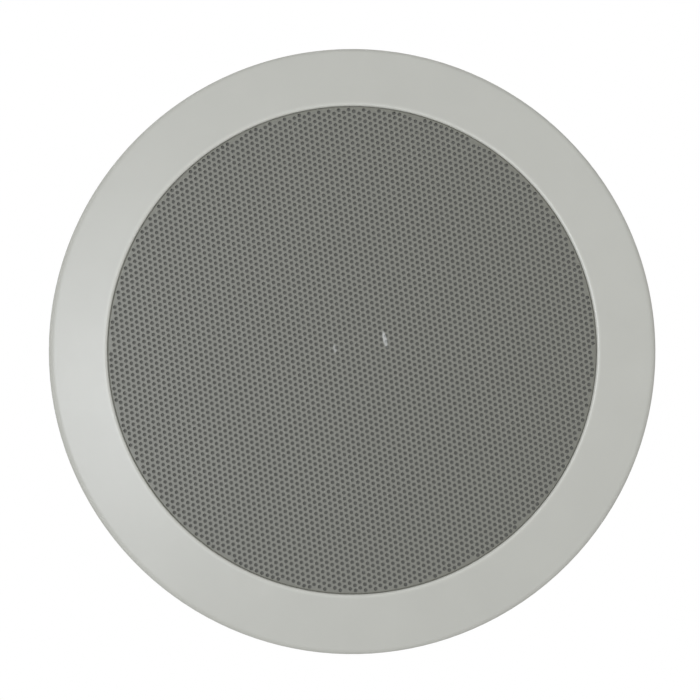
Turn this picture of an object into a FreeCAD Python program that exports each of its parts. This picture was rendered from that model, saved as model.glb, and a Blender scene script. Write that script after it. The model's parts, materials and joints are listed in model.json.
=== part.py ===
import FreeCAD, Part
import math
import os
import re

import Sketcher

# A round two-way speaker that is set flush into a wall or a ceiling.
#
# Every piece is drawn in one common frame: x to the right, y up and z out of the wall, with z = 0 on the
# wall's face. FACING then stands that frame up, so that the grille looks along -Y and +Z is up.

V = FreeCAD.Vector
FACING = FreeCAD.Rotation(V(1, 0, 0), 90)
CLAMP_ANGLES = (45, 135, 225, 315)
CLAMP_TURN = 45
RIB_TURN = 22.5
WINDOW_TURN = 30
GRILLE_TURN = 36.8
TAG_TURN = 90
FULL_TURN = 360
NEAR = 1e-4

# The driving dimensions, in millimetres, degrees and counts
SIZES = {
    # Driver, from the edge of its cone outwards
    "cone_radius": 43.0,
    "roll_width": 10.0,
    "lip_width": 3.0,
    "lip_clearance": 0.5,
    "seat_width": 9.5,
    "gasket_thickness": 1.5,
    "gasket_inset": 0.5,
    "surround_wall": 0.6,
    # Cone, coil and their suspension
    "cone_depth": 16.0,
    "cone_wall": 0.8,
    "cone_lip": 3.0,
    "glue_gap": 0.1,
    "cap_radius": 16.5,
    "cap_height": 5.0,
    "cap_wall": 0.5,
    "former_wall": 0.3,
    "former_rise": 1.0,
    "coil_wall": 0.7,
    "coil_height": 10.0,
    "coil_tail": 0.3,
    "spider_radius": 41.0,
    "spider_lip": 5.0,
    "spider_wall": 0.5,
    "spider_wave": 1.2,
    # Basket
    "basket_gauge": 1.0,
    "basket_depth": 22.0,
    "cup_depth": 8.0,
    "cup_hole_radius": 16.0,
    "window_angle": 36.0,
    "window_count": 6,
    "window_margin": 3.0,
    # Motor
    "pole_radius": 11.9,
    "magnet_gap": 0.5,
    "plate_thickness": 5.0,
    "plate_radius": 36.0,
    "magnet_radius": 40.0,
    "magnet_bore": 18.0,
    "magnet_thickness": 14.0,
    "yoke_radius": 37.0,
    "yoke_thickness": 5.0,
    # Moulded frame
    "collar_margin": 3.0,
    "collar_depth": 3.0,
    "baffle_thickness": 3.0,
    "rim_wall": 2.6,
    "rim_width": 9.5,
    "rim_proud": 0.7,
    "flange_width": 13.0,
    "flange_edge": 2.6,
    "edge_round": 1.5,
    "lip_round": 0.9,
    "spigot_depth": 12.0,
    "spigot_wall": 2.4,
    "rib_wall": 2.0,
    "rib_depth": 6.0,
    "rib_count": 8,
    # Grille
    "grille_depth": 4.8,
    "grille_sheet": 0.8,
    "grille_clearance": 0.3,
    "grille_round": 1.2,
    "grille_pitch": 15.6,
    "grille_hole_radius": 5.2,
    "grille_border": 4.5,
    "cloth_thickness": 0.3,
    "cloth_clearance": 0.5,
    # Small screws
    "small_screw_radius": 1.45,
    "small_head_radius": 2.9,
    "small_head_height": 1.3,
    "pilot_clearance": 0.05,
    "hole_clearance": 0.3,
    "driver_screw_count": 4,
    "driver_screw_reach": 4.5,
    "bridge_screw_count": 2,
    "bridge_screw_reach": 4.0,
    "pilot_spare": 0.5,
    "recess_arm": 1.7,
    "recess_slot": 0.4,
    "recess_depth": 0.8,
    # Tweeter and its bridge
    "bridge_thickness": 2.2,
    "bridge_width": 16.0,
    "bridge_landing": 12.0,
    "bridge_ring_radius": 20.0,
    "bridge_ring_drop": 3.0,
    "capsule_radius": 15.0,
    "capsule_clearance": 0.2,
    "capsule_flange": 3.0,
    "capsule_floor": 1.5,
    "capsule_rim": 1.4,
    "capsule_front": 1.8,
    "dome_seat": 0.8,
    "dome_radius": 10.5,
    "dome_height": 2.4,
    "dome_wall": 0.4,
    "dome_cavity": 2.4,
    "dome_ledge": 1.5,
    "trim_clearance": 0.15,
    "trim_gap": 0.6,
    "trim_height": 1.4,
    "tweeter_magnet_radius": 12.0,
    "tweeter_magnet_height": 5.0,
    # Tag strip on the basket
    "strip_length": 18.0,
    "strip_reach": 10.0,
    "strip_overlap": 4.0,
    "strip_thickness": 1.6,
    "tag_spacing": 10.0,
    "tag_width": 4.0,
    "tag_thickness": 0.8,
    "tag_front": 4.0,
    "tag_back": 5.4,
    "tag_inset": 4.9,
    "tag_clearance": 0.05,
    # Crossover board and its components
    "pad_length": 44.0,
    "pad_width": 34.0,
    "pad_thickness": 1.0,
    "board_length": 64.0,
    "board_width": 52.0,
    "board_thickness": 1.6,
    "board_round": 3.0,
    "seat_gap": 0.1,
    "capacitor_radius": 6.0,
    "capacitor_length": 24.0,
    "capacitor_round": 1.0,
    "capacitor_side": -16.0,
    "capacitor_up": 15.0,
    "choke_radius": 11.0,
    "choke_core": 4.0,
    "choke_height": 13.0,
    "choke_flange": 1.5,
    "choke_inset": 1.0,
    "choke_side": 17.0,
    "choke_up": 10.0,
    "resistor_length": 20.0,
    "resistor_width": 7.0,
    "resistor_edge": 0.8,
    "resistor_side": -18.0,
    "resistor_up": 2.0,
    # Push terminals
    "block_length": 34.0,
    "block_width": 16.0,
    "block_height": 12.0,
    "block_up": -15.0,
    "block_edge": 0.8,
    "terminal_spacing": 16.0,
    "wire_radius": 1.6,
    "wire_depth": 9.0,
    "wire_drop": 4.0,
    "button_up": 3.4,
    "button_length": 7.0,
    "button_width": 5.4,
    "button_clearance": 0.3,
    "button_proud": 4.5,
    "button_sunk": 5.0,
    "button_travel": 2.5,
    "button_round": 0.6,
    "contact_width": 4.0,
    "contact_length": 4.0,
    "contact_thickness": 0.6,
    # Mounting clamps
    "post_gap": 5.6,
    "post_wall": 3.0,
    "post_leg": 12.0,
    "stop_gap": 0.4,
    "boss_radius": 6.0,
    "boss_length": 7.5,
    "clamp_count": 4,
    "screw_radius": 2.2,
    "screw_clearance": 0.15,
    "screw_head_radius": 4.0,
    "screw_head_height": 2.8,
    "screw_head_round": 0.8,
    "head_recess": 1.5,
    "head_clearance": 0.6,
    "head_gap": 4.4,
    "clamp_recess_arm": 2.4,
    "clamp_recess_slot": 0.5,
    "clamp_recess_depth": 1.5,
    "screw_tail": 1.5,
    "screw_point": 1.0,
    "clip_gap": 0.3,
    "clip_thickness": 1.0,
    "clip_radius": 4.5,
    "clip_clearance": 0.03,
    "clip_mouth": 2.6,
    "dog_width": 10.0,
    "dog_reach": 26.0,
    "dog_thickness": 6.0,
    "dog_hub": 10.0,
    "dog_travel": 23.5,
    "dog_gap": 0.7,
    "dog_clearance": 0.1,
    "web_wall": 3.0,
    "web_reach": 20.0,
}

# Radii from the axis, each worked out from the sizes
THROAT = "(cone_radius + roll_width)"
SURROUND_EDGE = f"({THROAT} + lip_width)"
OPENING = f"({SURROUND_EDGE} + lip_clearance)"
BASKET_EDGE = f"({OPENING} + seat_width)"
DRIVER_SCREWS = f"({OPENING} + seat_width / 2)"
COLLAR = f"({BASKET_EDGE} + collar_margin)"
CLAMP_CIRCLE = f"({COLLAR} + post_gap + post_wall + stop_gap + dog_width / 2)"
GRILLE_OPENING = f"({CLAMP_CIRCLE} + screw_head_radius + head_gap + grille_sheet + grille_clearance)"
GRILLE_EDGE = f"({GRILLE_OPENING} - grille_clearance)"
SPIGOT = f"({GRILLE_OPENING} + rim_width)"
SPIGOT_INNER = f"({SPIGOT} - spigot_wall)"
FLANGE = f"({SPIGOT} + flange_width)"
BRIDGE_SCREWS = f"({OPENING} + bridge_landing / 2)"
FORMER_INNER = "(pole_radius + magnet_gap)"
FORMER = f"({FORMER_INNER} + former_wall)"
COIL = f"({FORMER} + coil_wall)"
NECK = f"({FORMER} + glue_gap)"
CONE_MOUTH = "(cone_radius - cone_lip)"
CUP = "(spider_radius - spider_lip)"
LEDGE = "(spider_radius + lip_clearance)"

# Heights along z, from the wall's face
BAFFLE_BACK = "(0 - baffle_thickness)"
BAFFLE_MIDDLE = "(0 - baffle_thickness / 2)"
GRILLE_FRONT = "grille_depth"
RIM = "(grille_depth + rim_proud)"
DRIVER_SEAT = f"({BAFFLE_BACK} - collar_depth)"
DRIVER_FACE = f"({DRIVER_SEAT} - gasket_thickness)"
FLANGE_BACK = f"({DRIVER_FACE} - basket_gauge)"
NECK_FRONT = f"({DRIVER_FACE} - cone_depth)"
CAP_BASE = f"({NECK_FRONT} + (cap_radius - {NECK}) * cone_depth / ({CONE_MOUTH} - {NECK}))"
SPIDER_SEAT = f"({DRIVER_FACE} - basket_depth)"
SPIDER_BACK = f"({SPIDER_SEAT} - basket_gauge)"
CUP_FLOOR = f"({SPIDER_SEAT} - cup_depth)"
PLATE_FRONT = f"({CUP_FLOOR} - basket_gauge)"
PLATE_BACK = f"({PLATE_FRONT} - plate_thickness)"
MAGNET_BACK = f"({PLATE_BACK} - magnet_thickness)"
YOKE_BACK = f"({MAGNET_BACK} - yoke_thickness)"
PAD_BACK = f"({YOKE_BACK} - pad_thickness)"
BOARD_BACK = f"({PAD_BACK} - board_thickness)"
BLOCK_BACK = f"({BOARD_BACK} - block_height)"
COIL_TOP = f"({PLATE_FRONT} - plate_thickness / 2 + coil_height / 2)"
COIL_END = f"({COIL_TOP} - coil_height)"
CAPSULE_SEAT = "(0 - bridge_ring_drop)"
CAPSULE_BACK = f"({CAPSULE_SEAT} - capsule_floor)"
BOSS_END = f"({BAFFLE_BACK} - boss_length)"
CLIP_FRONT = f"({BOSS_END} - clip_gap)"
CLIP_BACK = f"({CLIP_FRONT} - clip_thickness)"
DOG_FRONT = f"({CLIP_BACK} - dog_gap - dog_travel)"
ARM_BACK = f"({DOG_FRONT} - dog_thickness)"
HUB_BACK = f"({DOG_FRONT} - dog_hub)"
SCREW_END = f"({HUB_BACK} - screw_tail)"

# Routes of the leads in the common frame. The second lead of each pair is the first one's mirror image.
TINSEL_RADIUS = 0.4
TINSEL_ROUTE = [
    (5.0, 46.5, -28.2),
    (5.0, 44.2, -24.6),
    (5.0, 40.3, -22.4),
    (4.6, 36.2, -20.2),
    (4.4, 34.0, -16.4),
    (4.4, 33.6, -12.8),
]
WOOFER_LEAD_RADIUS = 0.9
WOOFER_LEAD_ROUTE = [
    (4.0, 21.0, -65.2),
    (4.0, 21.5, -71.5),
    (4.0, 27.5, -76.5),
    (4.2, 35.5, -76.0),
    (4.5, 42.5, -70.0),
    (4.8, 46.8, -61.0),
    (5.0, 49.0, -51.0),
    (5.0, 49.3, -42.0),
    (5.0, 48.8, -34.0),
]
TWEETER_LEAD_RADIUS = 1.0
TWEETER_LEAD_ROUTE = [
    (-27.0, -6.0, -65.4),
    (-28.0, -6.0, -71.0),
    (-35.0, -3.5, -75.0),
    (-45.0, 1.5, -70.5),
    (-53.0, 7.5, -60.0),
    (-59.0, 13.5, -47.5),
    (-65.0, 20.0, -35.5),
    (-70.0, 25.5, -24.0),
    (-73.5, 28.0, -13.5),
    (-74.5, 24.5, -5.5),
    (-74.0, 15.5, 1.3),
    (-66.0, 9.7, 1.3),
    (-52.0, 9.3, 1.3),
    (-36.0, 9.4, 1.3),
    (-18.2, 9.3, 1.3),
]
LEAD_SLOT_SIDE = 74.0
LEAD_SLOT_START = 16.0
LEAD_SLOT_END = 22.0
LEAD_SLOT_HALF = 2.5

doc = FreeCAD.newDocument("FlushMountSpeaker")
sheet = doc.addObject("Spreadsheet::Sheet", "Sizes")
for row, (size, value) in enumerate(SIZES.items(), start=1):
    sheet.set(f"A{row}", size)
    sheet.set(f"B{row}", str(value))
    sheet.setAlias(f"B{row}", size)
doc.recompute()

subparts = []


def bound(text):
    """The expression with each size's name pointed at its cell."""
    return re.sub(r"[a-z_]+", lambda word: f"Sizes.{word[0]}" if word[0] in SIZES else word[0], text)


def number(text):
    """The value of an expression at the present sizes."""
    return float(sheet.evalExpression(text))


def origin_feature(body, role):
    """One of a body's own origin planes or axes."""
    return next(feature for feature in body.Origin.OriginFeatures if feature.Role == role)


def new_body(name, x="0", y="0", level="0", turn=0.0):
    """An empty body at a place of the common frame, turned about its own z."""
    body = doc.addObject("PartDesign::Body", name)
    body.Label = name
    base = V(number(x), -number(level), number(y))
    body.Placement = FreeCAD.Placement(base, FACING * FreeCAD.Rotation(V(0, 0, 1), turn))
    body.setExpression("Placement.Base.x", bound(x))
    body.setExpression("Placement.Base.y", bound(f"0 - ({level})"))
    body.setExpression("Placement.Base.z", bound(y))
    subparts.append(body)
    return body


def add_sketch(body, plane="XY_Plane", level="0", turn=0.0, about=V(0, 0, 1)):
    """A sketch on an origin plane, lifted to a level and turned."""
    sketch = body.newObject("Sketcher::SketchObject", f"{body.Name}_sketch")
    sketch.AttachmentSupport = [(origin_feature(body, plane), "")]
    sketch.MapMode = "FlatFace"
    sketch.AttachmentOffset = FreeCAD.Placement(V(0, 0, number(level)), FreeCAD.Rotation(about, turn))
    sketch.setExpression("AttachmentOffset.Base.z", bound(level))
    return sketch


def bind(sketch, constraint, text):
    """Add a constraint whose value follows an expression."""
    index = sketch.addConstraint(constraint)
    sketch.renameConstraint(index, f"size_{index}")
    sketch.setExpression(f"Constraints.size_{index}", bound(text))


def hold_point(sketch, edge, point, x, y):
    """Tie a sketch point to its two coordinates."""
    for kind, text, axis in (("DistanceX", x, -2), ("DistanceY", y, -1)):
        if text == "0":
            sketch.addConstraint(Sketcher.Constraint("PointOnObject", edge, point, axis))
        else:
            bind(sketch, Sketcher.Constraint(kind, edge, point, number(text)), text)


def arc_between(centre, start, stop):
    """The arc that runs counter-clockwise from one point to another."""
    first = math.atan2(start.y - centre.y, start.x - centre.x)
    last = math.atan2(stop.y - centre.y, stop.x - centre.x)
    if last <= first:
        last += 2 * math.pi
    circle = Part.Circle(centre, V(0, 0, 1), (start - centre).Length)
    return Part.ArcOfCircle(circle, first, last)


def draw_outline(sketch, corners, arcs=None):
    """A closed outline. arcs gives, for the edge after a corner, its centre and which way it turns."""
    arcs = arcs or {}
    points = [V(number(x), number(y), 0) for x, y in corners]
    count = len(points)
    ends = []
    for k, start in enumerate(points):
        stop = points[(k + 1) % count]
        if k not in arcs:
            sketch.addGeometry(Part.LineSegment(start, stop))
            ends.append((1, 2))
            continue
        x, y, way = arcs[k]
        centre = V(number(x), number(y), 0)
        if way == "left":
            sketch.addGeometry(arc_between(centre, start, stop))
            ends.append((1, 2))
        else:
            sketch.addGeometry(arc_between(centre, stop, start))
            ends.append((2, 1))
    for k in range(count):
        after = (k + 1) % count
        sketch.addConstraint(Sketcher.Constraint("Coincident", k, ends[k][1], after, ends[after][0]))
        hold_point(sketch, k, ends[k][0], *corners[k])
    for k, (x, y, way) in arcs.items():
        chord = points[(k + 1) % count] - points[k]
        kind, text = ("DistanceY", y) if abs(chord.x) > abs(chord.y) else ("DistanceX", x)
        bind(sketch, Sketcher.Constraint(kind, k, 3, number(text)), text)


def draw_box(sketch, left, right, bottom, top):
    """A rectangle between four coordinates."""
    draw_outline(sketch, [(left, bottom), (right, bottom), (right, top), (left, top)])


def draw_circle(sketch, x, y, radius):
    """A circle tied to its centre and radius."""
    edge = sketch.addGeometry(Part.Circle(V(number(x), number(y), 0), V(0, 0, 1), number(radius)))
    hold_point(sketch, edge, 3, x, y)
    bind(sketch, Sketcher.Constraint("Radius", edge, number(radius)), radius)


def draw_slot(sketch, left, right, half):
    """A bar along x with round ends whose centres are at left and right."""
    corners = [(left, f"0 - {half}"), (right, f"0 - {half}"), (right, half), (left, half)]
    draw_outline(sketch, corners, {1: (right, "0", "left"), 3: (left, "0", "left")})


def draw_hexagon(sketch, x, y, radius):
    """A regular hexagon with two corners straight above and below its centre."""
    corners = []
    for angle in range(30, 390, 60):
        corners.append((f"{x} + {radius} * cos({angle})", f"{y} + {radius} * sin({angle})"))
    draw_outline(sketch, corners)


def draw_cross(sketch, x, y, arm, half):
    """A driver's cross recess."""
    steps = [
        (arm, half), (half, half), (half, arm), (f"0 - {half}", arm), (f"0 - {half}", half),
        (f"0 - {arm}", half), (f"0 - {arm}", f"0 - {half}"), (f"0 - {half}", f"0 - {half}"),
        (f"0 - {half}", f"0 - {arm}"), (half, f"0 - {arm}"), (half, f"0 - {half}"), (arm, f"0 - {half}"),
    ]
    draw_outline(sketch, [(f"{x} + {across}", f"{y} + {up}") for across, up in steps])


def revolve(body, corners, arcs=None):
    """A turned solid from its half section."""
    sketch = add_sketch(body, "XZ_Plane")
    draw_outline(sketch, corners, arcs)
    feature = body.newObject("PartDesign::Revolution", f"{body.Name}_turned")
    feature.Profile = (sketch, [""])
    feature.ReferenceAxis = (sketch, ["V_Axis"])
    feature.Angle = FULL_TURN
    return feature


def ring(body, inner, outer, low, high):
    """A turned ring of rectangular section."""
    return revolve(body, [(inner, low), (outer, low), (outer, high), (inner, high)])


def extrude(body, kind, sketch, low, high):
    """A pad or a pocket from a sketch at the low level up to the high one."""
    feature = body.newObject(f"PartDesign::{kind}", f"{body.Name}_{kind.lower()}")
    feature.Profile = (sketch, [""])
    feature.setExpression("Length", bound(f"({high}) - ({low})"))
    feature.Reversed = kind == "Pocket"
    return feature


def round_solid(body, kind, x, y, radius, low, high, turn=0.0):
    """A round boss or a round hole between two levels."""
    sketch = add_sketch(body, level=low, turn=turn)
    draw_circle(sketch, x, y, radius)
    return extrude(body, kind, sketch, low, high)


def box_solid(body, kind, left, right, bottom, top, low, high, turn=0.0):
    """A square boss or a square pocket between two levels."""
    sketch = add_sketch(body, level=low, turn=turn)
    draw_box(sketch, left, right, bottom, top)
    return extrude(body, kind, sketch, low, high)


def around(body, features, count):
    """Copies of features, evenly spaced about the body's axis."""
    pattern = body.newObject("PartDesign::PolarPattern", f"{body.Name}_around")
    pattern.Originals = features
    pattern.Axis = (origin_feature(body, "Z_Axis"), [""])
    pattern.Angle = FULL_TURN
    pattern.setExpression("Occurrences", bound(count))
    body.Tip = pattern
    return pattern


def dress_edges(body, kind, size, radius, wanted):
    """A fillet or a chamfer on the edges of the body's tip that the test wants."""
    doc.recompute()
    tip = body.Tip
    names = [f"Edge{k}" for k, edge in enumerate(tip.Shape.Edges, start=1) if wanted(edge)]
    feature = body.newObject(f"PartDesign::{kind}", f"{body.Name}_{kind.lower()}")
    feature.Base = (tip, names)
    feature.setExpression(size, bound(radius))
    return feature


def is_circle(edge):
    """Whether an edge is a circle or part of one."""
    return isinstance(edge.Curve, Part.Circle)


def is_ring(edge, radius, level):
    """Whether an edge is a circle about the axis with this radius and level."""
    if not is_circle(edge):
        return False
    centre = edge.Curve.Center
    on_axis = math.hypot(centre.x, centre.y) < NEAR
    return on_axis and abs(edge.Curve.Radius - number(radius)) < NEAR and abs(centre.z - number(level)) < NEAR


def is_upright(edge):
    """Whether an edge is a straight line along z."""
    box = edge.BoundBox
    return box.XLength + box.YLength < NEAR < box.ZLength


def dome(body, radius, height, wall, base):
    """A thin spherical cap that stands on its rim."""
    inner = f"({radius} - {wall})"
    rise = f"({height} - {wall})"
    outer_centre = f"({base} + {height} - ({radius}^2 + {height}^2) / (2 * {height}))"
    inner_centre = f"({base} + {rise} - ({inner}^2 + {rise}^2) / (2 * {rise}))"
    corners = [(radius, base), ("0", f"{base} + {height}"), ("0", f"{base} + {rise}"), (inner, base)]
    revolve(body, corners, {0: ("0", outer_centre, "left"), 2: ("0", inner_centre, "right")})


def lead(name, route, radius):
    """A round lead along straight runs joined by tangent arcs, each as large as its runs allow."""
    reach = 0.45
    points = [V(*point) for point in route]
    edges = []
    radii = []
    start = points[0]
    for before, corner, after in zip(points, points[1:], points[2:]):
        coming = (corner - before).normalize()
        going = (after - corner).normalize()
        half_turn = coming.getAngle(going) / 2
        tangent = reach * min((corner - before).Length, (after - corner).Length)
        bend = tangent / math.tan(half_turn)
        inward = (going - coming).normalize()
        middle = corner + inward * (bend / math.cos(half_turn) - bend)
        edges.append(Part.LineSegment(start, corner - coming * tangent).toShape())
        edges.append(Part.Arc(corner - coming * tangent, middle, corner + going * tangent).toShape())
        start = corner + going * tangent
        radii.append(bend)
    edges.append(Part.LineSegment(start, points[-1]).toShape())
    path = Part.Wire(edges)
    section = Part.Wire(Part.Circle(points[0], points[1] - points[0], radius).toShape())
    feature = doc.addObject("Part::Feature", name)
    feature.Label = name
    feature.Shape = path.makePipeShell([section], True, False)
    feature.Placement = FreeCAD.Placement(V(0, 0, 0), FACING)
    subparts.append(feature)
    swept = feature.Shape.Volume / (math.pi * radius**2 * path.Length)
    print(f"{name}: tightest bend {min(radii):.1f}, volume over section times length {swept:.4f}")


def mirrored(route):
    """The same route on the other side of the upright middle plane."""
    return [(-x, y, z) for x, y, z in route]


def make_bezel_frame():
    """Moulded frame: bezel flange, baffle, spigot, driver collar, ribs and clamp stations in one piece."""
    body = new_body("bezel_frame")
    revolve(body, [
        (GRILLE_OPENING, "0"),
        (GRILLE_OPENING, RIM),
        (FLANGE, "flange_edge"),
        (FLANGE, "0"),
        (SPIGOT, "0"),
        (SPIGOT, "0 - spigot_depth"),
        (SPIGOT_INNER, "0 - spigot_depth"),
        (SPIGOT_INNER, "0"),
        (f"{GRILLE_OPENING} + rim_wall", "0"),
        (f"{GRILLE_OPENING} + rim_wall", BAFFLE_BACK),
        (COLLAR, BAFFLE_BACK),
        (COLLAR, DRIVER_SEAT),
        (OPENING, DRIVER_SEAT),
        (OPENING, "0"),
    ])
    dress_edges(body, "Fillet", "Radius", "edge_round", lambda edge: is_ring(edge, FLANGE, "flange_edge"))
    dress_edges(body, "Fillet", "Radius", "lip_round", lambda edge: is_ring(edge, GRILLE_OPENING, RIM))
    add_frame_ribs(body)
    add_clamp_stations(body)
    pilot = "small_screw_radius + pilot_clearance"
    pilot_end = f"{DRIVER_SEAT} + driver_screw_reach + pilot_spare"
    hole = round_solid(body, "Pocket", DRIVER_SCREWS, "0", pilot, DRIVER_SEAT, pilot_end, CLAMP_TURN)
    around(body, [hole], "driver_screw_count")
    bridge_end = "0 - bridge_screw_reach - pilot_spare"
    hole = round_solid(body, "Pocket", BRIDGE_SCREWS, "0", pilot, bridge_end, "0")
    around(body, [hole], "bridge_screw_count")
    sketch = add_sketch(body, level=BAFFLE_BACK)
    low, high = str(LEAD_SLOT_START), str(LEAD_SLOT_END)
    left, right = (f"0 - {LEAD_SLOT_SIDE} {sign} {LEAD_SLOT_HALF}" for sign in "-+")
    corners = [(left, low), (right, low), (right, high), (left, high)]
    middle = f"0 - {LEAD_SLOT_SIDE}"
    draw_outline(sketch, corners, {0: (middle, low, "left"), 2: (middle, high, "left")})
    extrude(body, "Pocket", sketch, BAFFLE_BACK, "0")


def add_frame_ribs(body):
    """Stiffening ribs on the back of the baffle, from the collar to the spigot."""
    low = f"({BAFFLE_BACK} - rib_depth)"
    sides = ("0 - rib_wall / 2", "rib_wall / 2")
    left = f"{COLLAR} - collar_margin / 2"
    right = f"{SPIGOT_INNER} + spigot_wall / 2"
    rib = box_solid(body, "Pad", left, right, *sides, low, BAFFLE_MIDDLE, RIB_TURN)
    around(body, [rib], "rib_count")


def add_clamp_stations(body):
    """For each clamp, a screw boss and an L-shaped tower that stops the dog at both ends of its swing."""
    boss = round_solid(body, "Pad", CLAMP_CIRCLE, "0", "boss_radius", BOSS_END, BAFFLE_MIDDLE, CLAMP_TURN)
    inner = "(0 - dog_width / 2 - stop_gap)"
    outer = f"({inner} - post_wall)"
    corners = [
        (outer, outer), ("post_leg", outer), ("post_leg", inner),
        (inner, inner), (inner, "post_leg"), (outer, "post_leg"),
    ]
    sketch = add_sketch(body, level=HUB_BACK, turn=CLAMP_TURN)
    draw_outline(sketch, [(f"{CLAMP_CIRCLE} + {x}", y) for x, y in corners])
    tower = extrude(body, "Pad", sketch, HUB_BACK, BAFFLE_MIDDLE)
    around(body, [boss, tower], "clamp_count")
    shank = "screw_radius + screw_clearance"
    hole = round_solid(body, "Pocket", CLAMP_CIRCLE, "0", shank, BOSS_END, "0", CLAMP_TURN)
    head = "screw_head_radius + head_clearance"
    seat = round_solid(body, "Pocket", CLAMP_CIRCLE, "0", head, "0 - head_recess", "0", CLAMP_TURN)
    around(body, [hole, seat], "clamp_count")


def make_grille():
    """Perforated sheet with a turned-back rim, its rows of holes on the slant."""
    body = new_body("grille", turn=GRILLE_TURN)
    inside = f"({GRILLE_EDGE} - grille_sheet)"
    back = f"({GRILLE_FRONT} - grille_sheet)"
    revolve(body, [
        ("0", back), (inside, back), (inside, "0"),
        (GRILLE_EDGE, "0"), (GRILLE_EDGE, GRILLE_FRONT), ("0", GRILLE_FRONT),
    ])
    shoulder = (GRILLE_EDGE, GRILLE_FRONT)
    dress_edges(body, "Fillet", "Radius", "grille_round", lambda edge: is_ring(edge, *shoulder))
    pitch = number("grille_pitch")
    field = number(f"{GRILLE_EDGE} - grille_border - grille_hole_radius")
    row_step = math.sqrt(3) / 2
    last_row = int(field / (pitch * row_step))
    for row in range(-last_row, last_row + 1):
        half_row = math.sqrt(field**2 - (row * pitch * row_step) ** 2)
        shift = (row % 2) / 2
        steps = int(half_row / pitch - shift) + shift
        holes = int(2 * steps) + 1
        sketch = add_sketch(body, level=back)
        left = f"0 - {steps} * grille_pitch"
        up = f"{row} * sqrt(3) / 2 * grille_pitch"
        draw_hexagon(sketch, left, up, "grille_hole_radius")
        hole = extrude(body, "Pocket", sketch, back, GRILLE_FRONT)
        hole.Refine = False
        line = body.newObject("PartDesign::LinearPattern", "grille_row")
        line.Refine = False
        line.Originals = [hole]
        line.Direction = (origin_feature(body, "X_Axis"), [""])
        line.setExpression("Length", bound(f"{2 * steps} * grille_pitch"))
        line.Occurrences = holes
        body.Tip = line


def make_grille_cloth():
    """Thin cloth glued to the back of the grille, which hides what lies behind the holes."""
    radius = f"{GRILLE_EDGE} - grille_sheet - cloth_clearance"
    high = f"({GRILLE_FRONT} - grille_sheet)"
    round_solid(new_body("grille_cloth"), "Pad", "0", "0", radius, f"{high} - cloth_thickness", high)


def make_driver_gasket():
    """Foam ring between the collar and the basket's flange."""
    body = new_body("driver_gasket")
    ring(body, OPENING, f"{BASKET_EDGE} - gasket_inset", DRIVER_FACE, DRIVER_SEAT)
    clear = "small_screw_radius + hole_clearance"
    hole = round_solid(body, "Pocket", DRIVER_SCREWS, "0", clear, DRIVER_FACE, DRIVER_SEAT, CLAMP_TURN)
    around(body, [hole], "driver_screw_count")


def make_basket():
    """Pressed chassis: flange, windowed side wall, spider ledge and cup."""
    body = new_body("basket")
    revolve(body, [
        (BASKET_EDGE, DRIVER_FACE),
        (THROAT, DRIVER_FACE),
        (LEDGE, SPIDER_SEAT),
        (CUP, SPIDER_SEAT),
        (CUP, CUP_FLOOR),
        ("cup_hole_radius", CUP_FLOOR),
        ("cup_hole_radius", PLATE_FRONT),
        (f"{CUP} + basket_gauge", PLATE_FRONT),
        (f"{CUP} + basket_gauge", SPIDER_BACK),
        (f"{LEDGE} + basket_gauge", SPIDER_BACK),
        (f"{THROAT} + basket_gauge", FLANGE_BACK),
        (BASKET_EDGE, FLANGE_BACK),
    ])
    sketch = add_sketch(body, "XZ_Plane", turn=WINDOW_TURN, about=V(0, 1, 0))
    bottom = f"{SPIDER_SEAT} + window_margin"
    top = f"{FLANGE_BACK} - window_margin"
    draw_box(sketch, f"{CUP} - basket_gauge", f"{THROAT} + lip_width", bottom, top)
    window = body.newObject("PartDesign::Groove", "basket_window")
    window.Profile = (sketch, [""])
    window.ReferenceAxis = (sketch, ["V_Axis"])
    window.Midplane = True
    window.setExpression("Angle", bound("window_angle"))
    around(body, [window], "window_count")
    clear = "small_screw_radius + hole_clearance"
    hole = round_solid(body, "Pocket", DRIVER_SCREWS, "0", clear, FLANGE_BACK, DRIVER_FACE, CLAMP_TURN)
    around(body, [hole], "driver_screw_count")


def make_surround():
    """Half-roll edge between the cone and the basket."""
    body = new_body("surround")
    middle = "(cone_radius + roll_width / 2)"
    roll = "(roll_width / 2)"
    inside = f"({roll} - surround_wall)"
    foot = f"sqrt({roll}^2 - surround_wall^2)"
    lip_top = f"{DRIVER_FACE} + surround_wall"
    corners = [
        (SURROUND_EDGE, DRIVER_FACE),
        (SURROUND_EDGE, lip_top),
        (f"{middle} + {foot}", lip_top),
        (f"{middle} - {foot}", lip_top),
        (CONE_MOUTH, lip_top),
        (CONE_MOUTH, DRIVER_FACE),
        (f"{middle} - {inside}", DRIVER_FACE),
        (f"{middle} + {inside}", DRIVER_FACE),
    ]
    revolve(body, corners, {2: (middle, DRIVER_FACE, "left"), 6: (middle, DRIVER_FACE, "right")})


def make_cone():
    """Moulded diaphragm with a flat lip for the surround."""
    body = new_body("cone")
    revolve(body, [
        ("cone_radius", DRIVER_FACE),
        (CONE_MOUTH, DRIVER_FACE),
        (NECK, NECK_FRONT),
        (NECK, f"{NECK_FRONT} - cone_wall"),
        (CONE_MOUTH, f"{DRIVER_FACE} - cone_wall"),
        ("cone_radius", f"{DRIVER_FACE} - cone_wall"),
    ])


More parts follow.
